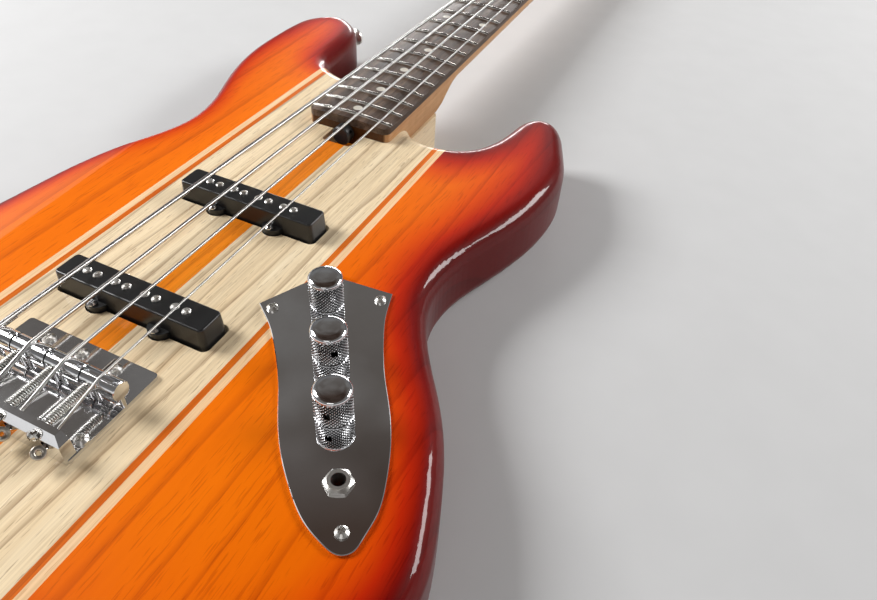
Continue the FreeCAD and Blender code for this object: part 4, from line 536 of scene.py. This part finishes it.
def black_piece(name, level, roughness, grain_scale, grain_depth):
    finish = new_finish(name, roughness)
    grain = cloud(finish, stretched(finish), grain_scale, detail=4, rough=0.7)
    dark = tuple(level * share for share in BLACK_LOW) + (1,)
    pale = tuple(level * share for share in BLACK_HIGH) + (1,)
    to_surface(finish, colour_steps(finish, grain, [(0.3, dark), (0.7, pale)]), "Base Color")
    relief(finish, grain, grain_depth)
    return finish


dress("neck", maple_neck_finish())
dress("truss_wheel", black_piece(
    "blackened_steel", level=0.02, roughness=0.35, grain_scale=900, grain_depth=0.03 * MM))
dress("truss_rod", plated("plain_steel", (0.42, 0.42, 0.43, 1), roughness=0.3, haze=0.1))

# Fretboard
# A dark rosewood board with a gentle crown is glued to the neck.
# White dots are let into it, nickel frets are pressed across it and a bone nut ends it.
BOARD_SHINE = 0.25
BOARD_STEPS = [(0.30, tint(58, 45, 37)), (0.52, tint(86, 69, 58)), (0.72, tint(116, 95, 80))]
BOARD_PORE = (0.25, 0.2, 0.18, 1)


def rosewood_finish():
    finish = new_finish("rosewood", roughness=0.42)
    finish.node_tree.nodes["Principled BSDF"].inputs["Specular IOR Level"].default_value = BOARD_SHINE
    streaks = cloud(finish, stretched(finish, draw=0.05), scale=190, detail=5, rough=0.65)
    wood = colour_steps(finish, streaks, BOARD_STEPS)
    pores = cloud(finish, stretched(finish, draw=0.06), scale=1500, detail=2, rough=0.5)
    pore_shade = colour_steps(finish, pores, [(0.56, WHITE), (0.66, BOARD_PORE)])
    to_surface(finish, lay_over(finish, "MULTIPLY", 0.8, wood, pore_shade), "Base Color")
    relief(finish, pores, depth=0.10 * MM)
    return finish


def cast_white(name, pale, warm, roughness):
    finish = new_finish(name, roughness, coat=0.3)
    swirl = cloud(finish, stretched(finish), scale=700, detail=4, rough=0.6)
    to_surface(finish, colour_steps(finish, swirl, [(0.35, warm), (0.65, pale)]), "Base Color")
    relief(finish, swirl, depth=0.01 * MM)
    return finish


dress("fretboard", rosewood_finish())
dress("position_dots", cast_white("pearl_dot", tint(240, 236, 226), tint(222, 214, 198), roughness=0.25))
dress("nut", cast_white("bone_nut", tint(232, 224, 204), tint(214, 202, 176), roughness=0.35))

# Pickups
# Each has a black moulded cover with screw ears, domed poles and a copper coil inside.
# Screws through the ears set its height above the body.
cover_finish = black_piece(
    "moulded_cover", level=0.011, roughness=0.28, grain_scale=2600, grain_depth=0.02 * MM)
copper = plated("enamelled_copper", (0.55, 0.20, 0.08, 1), roughness=0.3, haze=0.1)
for pickup in ("bridge", "neck"):
    dress("pickup_cover_" + pickup, cover_finish)
    dress("pickup_coil_" + pickup, copper)

# Control plate and knobs
# A mirror-bright plate carries three pots and the output socket.
# Each knob is a knurled brass barrel with a chrome skin, held on its shaft by a set screw.
PLATE_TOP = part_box("control_plate")[1][2]
PLATE_EDGE = 0.7 * MM
PLATE_HAZE = 60
KNOB_GAP = 0.5 * MM
KNURL_STARTS = 30
KNURL_FACETS = 4
KNURL_DEPTH = 0.6 * MM
KNURL_START = 0.6 * MM
KNOB_RIM = 3.0 * MM
# Skirt and cap are given as millimetres in from the barrel's side and up from where they start.
KNOB_SKIRT = [(1.8, 3.0), (1.8, 0.0), (0.7, 0.0)]
KNOB_CAP = [(0.45, 0.1), (0.45, 0.35), (0.06, 0.55), (0.0, 0.9),
            (0.12, 1.35), (0.5, 1.85), (1.1, 2.3), (1.8, 2.6)]
# The dome is given as shares of the radius and millimetres down from the top.
KNOB_DOME = [(0.6, 0.14), (0.25, 0.0)]
SET_SCREW = 1.6 * MM
SET_SCREW_HEIGHT = 7.0 * MM
SET_SCREW_TURNS = {"neck_volume_knob": 2.2, "bridge_volume_knob": -0.75, "tone_knob": -1.35}
DRILL_SIDES = 24
DRILL_LENGTH = 5 * MM
DRILL_OUT = 0.4 * MM


def grey(level):
    return (level, level, level, 1)


def ridge(value):
    """A pointed wave between 0 and 1."""
    return abs(value % 1.0 * 2 - 1)


def new_piece(name, vertices, faces):
    mesh = bpy.data.meshes.new(name)
    mesh.from_pydata(vertices, [], faces)
    mesh.update()
    return into_scene(name, mesh)


def ring_faces(rings, around):
    faces = []
    for ring in range(rings - 1):
        for step in range(around):
            following = (step + 1) % around
            faces.append((ring * around + step, ring * around + following,
                          (ring + 1) * around + following, (ring + 1) * around + step))
    return faces


def knurled_knob(node):
    """A barrel with diamond knurling, a bright rim and a slightly domed top."""
    low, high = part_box(node)
    centre = plan_centre(node)
    radius = (high[0] - low[0]) / 2
    base = PLATE_TOP + KNOB_GAP
    top = high[2]
    around = KNURL_STARTS * KNURL_FACETS
    rise = 2 * math.pi * radius / KNURL_STARTS
    band_low = base + KNURL_START
    band_high = top - KNOB_RIM
    rows = int((band_high - band_low) / rise * KNURL_FACETS)
    skirt = [(radius - inward * MM, base + up * MM) for inward, up in KNOB_SKIRT]
    knurl = [band_low + (band_high - band_low) * row / rows for row in range(rows + 1)]
    cap = [(radius - inward * MM, band_high + up * MM) for inward, up in KNOB_CAP]
    cap += [(radius * share, top - down * MM) for share, down in KNOB_DOME]
    corners = []
    for reach, z in skirt:
        corners += [(reach, z, step) for step in range(around)]
    for z in knurl:
        climb = (z - band_low) / rise
        for step in range(around):
            turn = step / KNURL_FACETS
            height = min(ridge(turn + climb), ridge(turn - climb))
            corners.append((radius - KNURL_DEPTH * (1 - height), z, step))
    for reach, z in cap:
        corners += [(reach, z, step) for step in range(around)]
    places = []
    crests = []
    for reach, z, step in corners:
        angle = 2 * math.pi * step / around
        places.append((centre.x + reach * math.cos(angle), centre.y + reach * math.sin(angle), z))
        crest = max(0.0, min(1.0, 1 - (radius - reach) / KNURL_DEPTH))
        crests.append(crest if z < band_high else 1.0)
    rings = len(corners) // around
    faces = ring_faces(rings, around)
    faces.append(tuple((rings - 1) * around + step for step in range(around)))
    knob = new_piece(node + "_barrel", places, faces)
    knob.data.attributes.new("crest", "FLOAT", "POINT").data.foreach_set("value", crests)
    first = len(skirt) * around
    last = (len(skirt) + len(knurl) - 1) * around
    for polygon in knob.data.polygons:
        polygon.use_smooth = not first <= min(polygon.vertices) < last
        polygon.material_index = int(polygon.use_smooth)
    knob.data.materials.append(knurled_chrome)
    knob.data.materials.append(chrome)
    return knob


def bore_set_screw(knob, node, turn):
    """Cut the set screw's hole into the side of a knob."""
    low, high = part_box(node)
    radius = (high[0] - low[0]) / 2
    way = Vector((math.cos(turn), math.sin(turn), 0))
    place = plan_centre(node) + Vector((0, 0, PLATE_TOP + KNOB_GAP + SET_SCREW_HEIGHT))
    bpy.ops.mesh.primitive_cylinder_add(vertices=DRILL_SIDES, radius=SET_SCREW, depth=DRILL_LENGTH,
                                        location=place + way * (radius + DRILL_OUT))
    drill = bpy.context.object
    drill.rotation_euler = way.to_track_quat("Z", "Y").to_euler()
    cut = knob.modifiers.new("set_screw_hole", "BOOLEAN")
    cut.operation = "DIFFERENCE"
    cut.solver = "EXACT"
    cut.object = drill
    bpy.context.view_layer.update()
    done = bpy.data.meshes.new_from_object(knob.evaluated_get(bpy.context.evaluated_depsgraph_get()))
    knob.modifiers.clear()
    knob.data = done
    bpy.data.objects.remove(drill)


mirror_plate = plated("mirror_plate", (0.85, 0.85, 0.86, 1), roughness=0.015, haze=0.03, scale=PLATE_HAZE)
ease_edges(dress("control_plate", mirror_plate), PLATE_EDGE)
dress("control_pots", plated("pot_case", (0.62, 0.62, 0.60, 1), roughness=0.3, haze=0.1))
knurled_chrome = plated("knurled_chrome", (0.80, 0.80, 0.81, 1), roughness=0.28, haze=0.02)
# The knurl's grooves are painted near black as painted shade, and its crests brighter than the chrome as
# painted highlight.
knurl_crest = add_node(knurled_chrome, "ShaderNodeAttribute", {"attribute_name": "crest"}).outputs["Fac"]
knurl_painted_light_stops = [(0.28, grey(0.010)), (0.72, (0.94, 0.94, 0.95, 1))]
to_surface(knurled_chrome, colour_steps(knurled_chrome, knurl_crest, knurl_painted_light_stops), "Base Color")
for node, turn in SET_SCREW_TURNS.items():
    knob = knurled_knob(node)
    bore_set_screw(knob, node, turn)
    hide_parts(node)
    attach(knob, node)

# Nuts on the control plate
# Plated hexagon nuts hold the pots, under the knobs, and the output socket to the plate.
# Turning leaves a round chamfer on their corners. Their sizes are in millimetres.
NUT_ACROSS = {"neck_volume_knob": 11.0, "bridge_volume_knob": 11.0, "tone_knob": 11.0, "jack_socket": 11.5}
NUT_BORE = {"neck_volume_knob": 4.75, "bridge_volume_knob": 4.75, "tone_knob": 4.75, "jack_socket": 4.85}
NUT_HEIGHT = 2.2
NUT_FACE = 0.41
NUT_CHAMFER = 0.6
NUT_STEPS = 72
NUT_TURN = 0.449
NUT_CREASE = 18


def nut_profile(across, bore, angle):
    """The nut's section at an angle, as distances from its axis and heights."""
    corner = across / 2 / math.cos((angle - NUT_TURN) % (math.pi / 3) - math.pi / 6)
    face = NUT_FACE * across
    drop = (corner - face) * NUT_CHAMFER
    return [(bore, 0), (bore, NUT_HEIGHT), (face, NUT_HEIGHT),
            ((face + corner) / 2, NUT_HEIGHT - drop / 2), (corner, NUT_HEIGHT - drop), (corner, 0)]


nut_vertices = []
nut_faces = []
for node, across in NUT_ACROSS.items():
    centre = plan_centre(node)
    angles = [2 * math.pi * step / NUT_STEPS for step in range(NUT_STEPS)]
    sections = [nut_profile(across, NUT_BORE[node], angle) for angle in angles]
    rings = len(sections[0])
    first = len(nut_vertices)
    for ring in range(rings):
        for angle, section in zip(angles, sections):
            reach, rise = section[ring]
            way = Vector((math.cos(angle), math.sin(angle), 0))
            nut_vertices.append(centre + way * (reach * MM) + Vector((0, 0, PLATE_TOP + rise * MM)))
    for face in ring_faces(rings, NUT_STEPS):
        nut_faces.append(tuple(first + corner for corner in face))
nuts = new_piece("chamfered_nuts", nut_vertices, nut_faces)
crease(nuts, NUT_CREASE)
nuts.data.materials.append(satin_nickel)
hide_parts("control_nuts")
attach(nuts, "instrument")

# Hookup wires
# Thin leads run in the cavity from the pickups to the pots and the socket.
# They are stranded copper under waxed black cloth, soldered to the lugs at both ends.
dress("hookup_wires", black_piece(
    "waxed_cloth", level=0.03, roughness=0.7, grain_scale=2000, grain_depth=0.06 * MM))

# Strings
# Four nickel-wound strings run from the ball ends behind the bridge over saddle and nut.
# Each is wrapped on its tuner post.
# Their sizes and places are in millimetres.
SCALE_LENGTH = 863.6
STRING_RADII = {"e": 1.30, "a": 1.05, "d": 0.82, "g": 0.57}
STRING_STEPS = {"e": -1.5, "a": -0.5, "d": 0.5, "g": 1.5}
STRING_SIDES = 14
STRING_CREASE = 50
BRIDGE_SPACING = 20.0
NUT_SPACING = 10.0
SADDLE_LEVEL = 57.3
SADDLE_WRAP = 3.9
SADDLE_STEPS = 8
LIP_PLACE = (-33.6, 53.3)
NUT_PLACE = 865.1
BOARD_TOP = 56.6
BOARD_RADIUS = 240.0
NUT_STRING_RISE = 1.6
HEAD_TOP = 45.6
TREE_Y = 935.6
TREE_UNDERSIDE = 7.48
TREE_RADIUS = 6.5
WINDING_LEVEL = 52.6
WINDING_GAP = 0.6
WINDING_TURNS = 2.5
WINDING_STEPS = 28
POST_REACH = 5.1
BEND_SPAN = 60.0
BEND_SPARE = 20
BEND_STEPS = 30
FRONT_STEPS = 12
WRAP_TILT = (0.12, 0, 0.12)
WRAP_SHARE = 0.4
WRAP_RELIEF = 0.06
BALL_RADIUS = 3.0
BALL_STEPS = 32
BALL_TURNS = {"e": 0.5, "a": 1.2, "d": 0.7, "g": 0.87}
BALL_PROFILE = [(-1.0, 1.0), (-1.55, 1.0), (-2.0, 1.4), (-2.0, 2.6), (-1.6, 3.0), (-0.9, 2.9),
                (-0.4, 2.3), (0.4, 2.3), (0.9, 2.9), (1.6, 3.0), (2.0, 2.6), (2.0, 1.4),
                (1.55, 1.0), (1.0, 1.0)]


def string_x(name, y):
    at_bridge = STRING_STEPS[name] * BRIDGE_SPACING
    at_nut = STRING_STEPS[name] * NUT_SPACING
    return at_bridge + (at_nut - at_bridge) * y / SCALE_LENGTH


def touch_angle(y, z, wrap, side):
    """Angle on the saddle where a straight run from a place first touches it."""
    reach = math.hypot(y, z - SADDLE_LEVEL)
    towards = math.atan2(z - SADDLE_LEVEL, y)
    return towards + side * math.acos(wrap / reach)


def string_line(name):
    """Centre line of a string behind and ahead of the saddle's crown, and where it meets the nut."""
    radius = STRING_RADII[name]
    wrap = SADDLE_WRAP + radius
    at_nut = string_x(name, SCALE_LENGTH)
    nut_z = BOARD_TOP - at_nut ** 2 / 2 / BOARD_RADIUS + NUT_STRING_RISE + radius
    start = touch_angle(*LIP_PLACE, wrap, -1)
    end = touch_angle(NUT_PLACE, nut_z, wrap, 1)
    sweep = (end - start + math.pi) % (2 * math.pi) - math.pi
    over = []
    for step in range(SADDLE_STEPS + 1):
        angle = start + sweep * step / SADDLE_STEPS
        y = wrap * math.cos(angle)
        over.append(Vector((string_x(name, 0), y, SADDLE_LEVEL + wrap * math.sin(angle))))
    crown = SADDLE_STEPS // 2
    lip = Vector((string_x(name, 0), *LIP_PLACE))
    rear = [lip.lerp(over[0], step / SADDLE_STEPS) for step in range(SADDLE_STEPS)] + over[:crown + 1]
    nut = Vector((at_nut, NUT_PLACE, nut_z))
    front = over[crown:]
    steps = [step / BEND_STEPS for step in range(1, BEND_STEPS + 1)]
    front += [over[-1].lerp(nut, (BEND_SPAN + BEND_SPARE) * share / SCALE_LENGTH) for share in steps]
    front += [front[-1].lerp(nut, step / FRONT_STEPS) for step in range(1, FRONT_STEPS + 1)]
    return rear, front, nut


def head_run(name, nut):
    """The run from the nut under the tree to the post, and the winding."""
    radius = STRING_RADII[name]
    post = plan_centre("tuner_post_" + name) / MM
    line = []
    if name in ("d", "g"):
        rim = HEAD_TOP + TREE_UNDERSIDE - radius
        share = TREE_RADIUS / (TREE_Y - NUT_PLACE)
        line.append(Vector((string_x(name, TREE_Y), TREE_Y, (rim - share * nut.z) / (1 - share))))
    way = Vector((string_x(name, post.y) - string_x(name, post.y - 1), 1, 0)).normalized()
    side = Vector((way.y, -way.x, 0))
    reach = POST_REACH + radius
    climb = (2 * radius + WINDING_GAP) / (2 * math.pi)
    for step in range(int(WINDING_TURNS * WINDING_STEPS) + 1):
        angle = 2 * math.pi * step / WINDING_STEPS
        flat = side * math.cos(angle) + way * math.sin(angle)
        line.append(Vector((post.x, post.y, WINDING_LEVEL + climb * angle)) + flat * reach)
    return line


def bar(name, line, radius, sides):
    """A round bar along a line of points, with closed ends; line and radius are in millimetres."""
    line = [point * MM for point in line]
    radius = radius * MM
    count = len(line)
    across = (line[1] - line[0]).normalized().orthogonal().normalized()
    vertices = []
    for index, point in enumerate(line):
        before = line[max(0, index - 1)]
        after = line[min(count - 1, index + 1)]
        heading = (after - before).normalized()
        across = (across - heading * across.dot(heading)).normalized()
        other = heading.cross(across)
        for step in range(sides):
            angle = 2 * math.pi * step / sides
            place = point + across * (radius * math.cos(angle))
            vertices.append(place + other * (radius * math.sin(angle)))
    faces = ring_faces(count, sides)
    faces.append(tuple(reversed(range(sides))))
    faces.append(tuple((count - 1) * sides + step for step in range(sides)))
    piece = new_piece(name, vertices, faces)
    crease(piece, STRING_CREASE)
    return piece


def wound_finish(name, wire_gap):
    """Fine wire wrapped round a core, with the gap between wraps in metres."""
    finish = new_finish(name, roughness=0.29, metal=1.0)
    wraps = add_node(finish, "ShaderNodeTexWave",
                     {"wave_type": "BANDS", "bands_direction": "Y", "wave_profile": "SIN"},
                     {"Scale": math.pi / 10 / wire_gap, "Distortion": 0.0})
    link(finish, stretched(finish, turn=WRAP_TILT), wraps.inputs["Vector"])
    # The gaps between wraps are painted darker as painted shade, and the wraps lighter.
    shade = colour_steps(finish, wraps.outputs["Fac"],
                         [(0.0, (0.34, 0.33, 0.32, 1)), (0.5, (0.60, 0.59, 0.57, 1))])
    to_surface(finish, shade, "Base Color")
    relief(finish, wraps.outputs["Fac"], wire_gap * WRAP_RELIEF)
    return finish


def ball_end(name, end, back, turn):
    """The grooved ring that the end of a string is looped round, turned about the string."""
    centre = end + back * BALL_RADIUS
    axis = Matrix.Rotation(turn, 3, back) @ Vector((1, 0, 0))
    other = axis.cross(back).normalized()
    vertices = []
    for along, reach in BALL_PROFILE:
        for step in range(BALL_STEPS):
            angle = 2 * math.pi * step / BALL_STEPS
            offset = axis * along + back * (reach * math.cos(angle)) + other * (reach * math.sin(angle))
            vertices.append((centre + offset) * MM)
    faces = ring_faces(len(BALL_PROFILE), BALL_STEPS)
    last = (len(BALL_PROFILE) - 1) * BALL_STEPS
    for step in range(BALL_STEPS):
        following = (step + 1) % BALL_STEPS
        faces.append((last + step, last + following, following, step))
    piece = new_piece(name, vertices, faces)
    crease(piece, STRING_CREASE)
    return piece


ball_nickel = plated("ball_end_nickel", (0.60, 0.56, 0.49, 1), roughness=0.28, haze=0.08, scale=FINE_HAZE)
for name, radius in STRING_RADII.items():
    rear, front, nut = string_line(name)
    front += head_run(name, nut)
    finish = wound_finish("wound_string_" + name, radius * WRAP_SHARE * MM)
    behind = bar("string_%s_behind_saddle" % name, rear, radius, STRING_SIDES)
    ahead = bar("string_%s_speaking_length" % name, front, radius, STRING_SIDES)
    for piece in (behind, ahead):
        piece.data.materials.append(finish)
    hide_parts("string_" + name)
    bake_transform(behind)
    back = (rear[0] - rear[1]).normalized()
    ball = ball_end("string_%s_ball_end" % name, rear[0], back, BALL_TURNS[name])
    ball.data.materials.append(ball_nickel)
    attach(ball, "instrument")
    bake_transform(ahead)

# Springs on the intonation screws
# A steel spring on each screw presses the saddle away from the lip of the bridge.
# It is one wire, wound about the screw. Its sizes are in millimetres.
SPRING_WIRE = 0.7
SPRING_TURNS = 20
SPRING_STEPS = 20
SPRING_SIDES = 10
SPRING_MEAN = 2.0
SPRING_ENDS = (-26.88, -5.02)
SCREW_OFFSET = -4.6


def spring_line(name):
    x = string_x(name, 0) + SCREW_OFFSET
    first, last = SPRING_ENDS
    steps = SPRING_TURNS * SPRING_STEPS
    line = []
    for step in range(steps + 1):
        angle = 2 * math.pi * step / SPRING_STEPS
        y = first + (last - first) * step / steps
        z = SADDLE_LEVEL + SPRING_MEAN * math.cos(angle)
        line.append(Vector((x + SPRING_MEAN * math.sin(angle), y, z)))
    return line


spring_steel = plated("spring_steel", (0.74, 0.73, 0.70, 1), roughness=0.28, haze=0.04, scale=FINE_HAZE)
for index, name in enumerate(STRING_RADII):
    spring = bar("intonation_spring_" + name, spring_line(name), SPRING_WIRE / 2, SPRING_SIDES)
    spring.data.materials.append(spring_steel)
    if index == 0:
        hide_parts("intonation_springs")
    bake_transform(spring)

# Studio
# The instrument lies on its back on a plain pale floor under soft light from both sides.
# The camera stands where the photographer stood.
FLOOR_REACH = 6.0
FLOOR_LEVEL = -0.4 * MM
FLOOR_CORNERS = [(-1, -1), (1, -1), (1, 1), (-1, 1)]
ROOM_STEPS = [
    (0.00, grey(0.95)), (0.18, grey(0.80)), (0.28, (0.18, 0.18, 0.185, 1)),
    (0.45, (0.17, 0.17, 0.175, 1)), (0.66, (0.20, 0.197, 0.193, 1)), (0.78, (0.15, 0.14, 0.133, 1)),
    (0.87, (0.06, 0.042, 0.034, 1)), (1.0, (0.05, 0.036, 0.030, 1))]
PATCH_SCALE = 5.5
PATCH_SHADE = (0.68, 0.64, 0.61, 1)
floor_places = [(FLOOR_REACH * x, FLOOR_REACH * y, FLOOR_LEVEL) for x, y in FLOOR_CORNERS]
floor = new_piece("floor", floor_places, [(0, 1, 2, 3)])
floor_finish = new_finish("pale_floor", roughness=0.8)
floor_mottle = cloud(floor_finish, stretched(floor_finish), scale=30, detail=2)
floor_stops = [(0.3, grey(0.575)), (0.7, grey(0.59))]
to_surface(floor_finish, colour_steps(floor_finish, floor_mottle, floor_stops), "Base Color")
floor.data.materials.append(floor_finish)

scene = bpy.context.scene
scene.view_settings.view_transform = "Standard"
room = bpy.data.worlds.new("studio")
room.use_nodes = True
scene.world = room
room_place = add_node(room, "ShaderNodeTexCoord").outputs["Generated"]
room_way = add_node(room, "ShaderNodeSeparateXYZ")
link(room, room_place, room_way.inputs[0])
room_colour = colour_steps(room, room_way.outputs["Z"], ROOM_STEPS)
room_patches = cloud(room, room_place, PATCH_SCALE, detail=2.0)
patch_shade = colour_steps(room, room_patches, [(0.42, PATCH_SHADE), (0.56, WHITE)])
patch_share = colour_steps(room, room_way.outputs["Z"], [(0.45, BLACK), (0.60, WHITE)])
room_colour = lay_over(room, "MULTIPLY", patch_share, room_colour, patch_shade)
far_shade = colour_steps(room, room_way.outputs["Y"], [(0.30, WHITE), (0.62, grey(0.25))])
low_share = colour_steps(room, room_way.outputs["Z"], [(0.30, WHITE), (0.42, BLACK)])
room_colour = lay_over(room, "MULTIPLY", low_share, room_colour, far_shade)
link(room, room_colour, room.node_tree.nodes["Background"].inputs["Color"])


def soft_light(name, place, target, size, power):
    data = bpy.data.lights.new(name, "AREA")
    data.shape = "RECTANGLE"
    data.size, data.size_y = size
    data.energy = power
    lamp = into_scene(name, data)
    lamp.location = place
    lamp.rotation_euler = (Vector(target) - Vector(place)).to_track_quat("-Z", "Y").to_euler()


soft_light("left_softbox", place=(-1.3, -0.05, 1.05), target=(0, 0.25, 0), size=(0.7, 0.7), power=31)
soft_light("back_softbox", place=(-0.8, 2.6, 0.45), target=(0, 0.2, 0), size=(1.4, 0.3), power=22)
soft_light("right_softbox", place=(1.2, 1.2, 0.85), target=(0.0, 0.3, 0), size=(0.9, 0.4), power=20)
soft_light("front_softbox", place=(0.5, -1.2, 1.3), target=(0.05, 0.1, 0), size=(0.8, 0.4), power=1.5)

VIEW_RIGHT = Vector((0.90015012, 0.43282269, 0.04893136))
VIEW_DOWN = Vector((0.32755976, -0.59858917, -0.73102367))
VIEW_FORWARD = Vector((-0.28711385, 0.67405899, -0.68059541))
VIEW_PLACE = Vector((233.2836, -122.8576, 296.9)) * MM
FOCAL_PIXELS = 715.246
PHOTO_WIDTH = 877
PHOTO_HEIGHT = 600
VIEW_AXIS = (436.765, 300.664)
SENSOR_WIDTH = 36
NEAREST = 0.01
camera_data = bpy.data.cameras.new("photo_camera")
camera_data.sensor_width = SENSOR_WIDTH
camera_data.lens = FOCAL_PIXELS / PHOTO_WIDTH * SENSOR_WIDTH
camera_data.clip_start = NEAREST
camera_data.shift_x = (PHOTO_WIDTH / 2 - VIEW_AXIS[0]) / PHOTO_WIDTH
camera_data.shift_y = (VIEW_AXIS[1] - PHOTO_HEIGHT / 2) / PHOTO_WIDTH
camera = into_scene("photo_camera", camera_data)
camera.matrix_world = Matrix((
    (VIEW_RIGHT.x, -VIEW_DOWN.x, -VIEW_FORWARD.x, VIEW_PLACE.x),
    (VIEW_RIGHT.y, -VIEW_DOWN.y, -VIEW_FORWARD.y, VIEW_PLACE.y),
    (VIEW_RIGHT.z, -VIEW_DOWN.z, -VIEW_FORWARD.z, VIEW_PLACE.z),
    (0, 0, 0, 1)))
scene.camera = camera

bare = [node for node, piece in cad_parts.items() if node not in dressed and not piece.hide_render]
if bare:
    raise ValueError("no finish on " + ", ".join(bare))
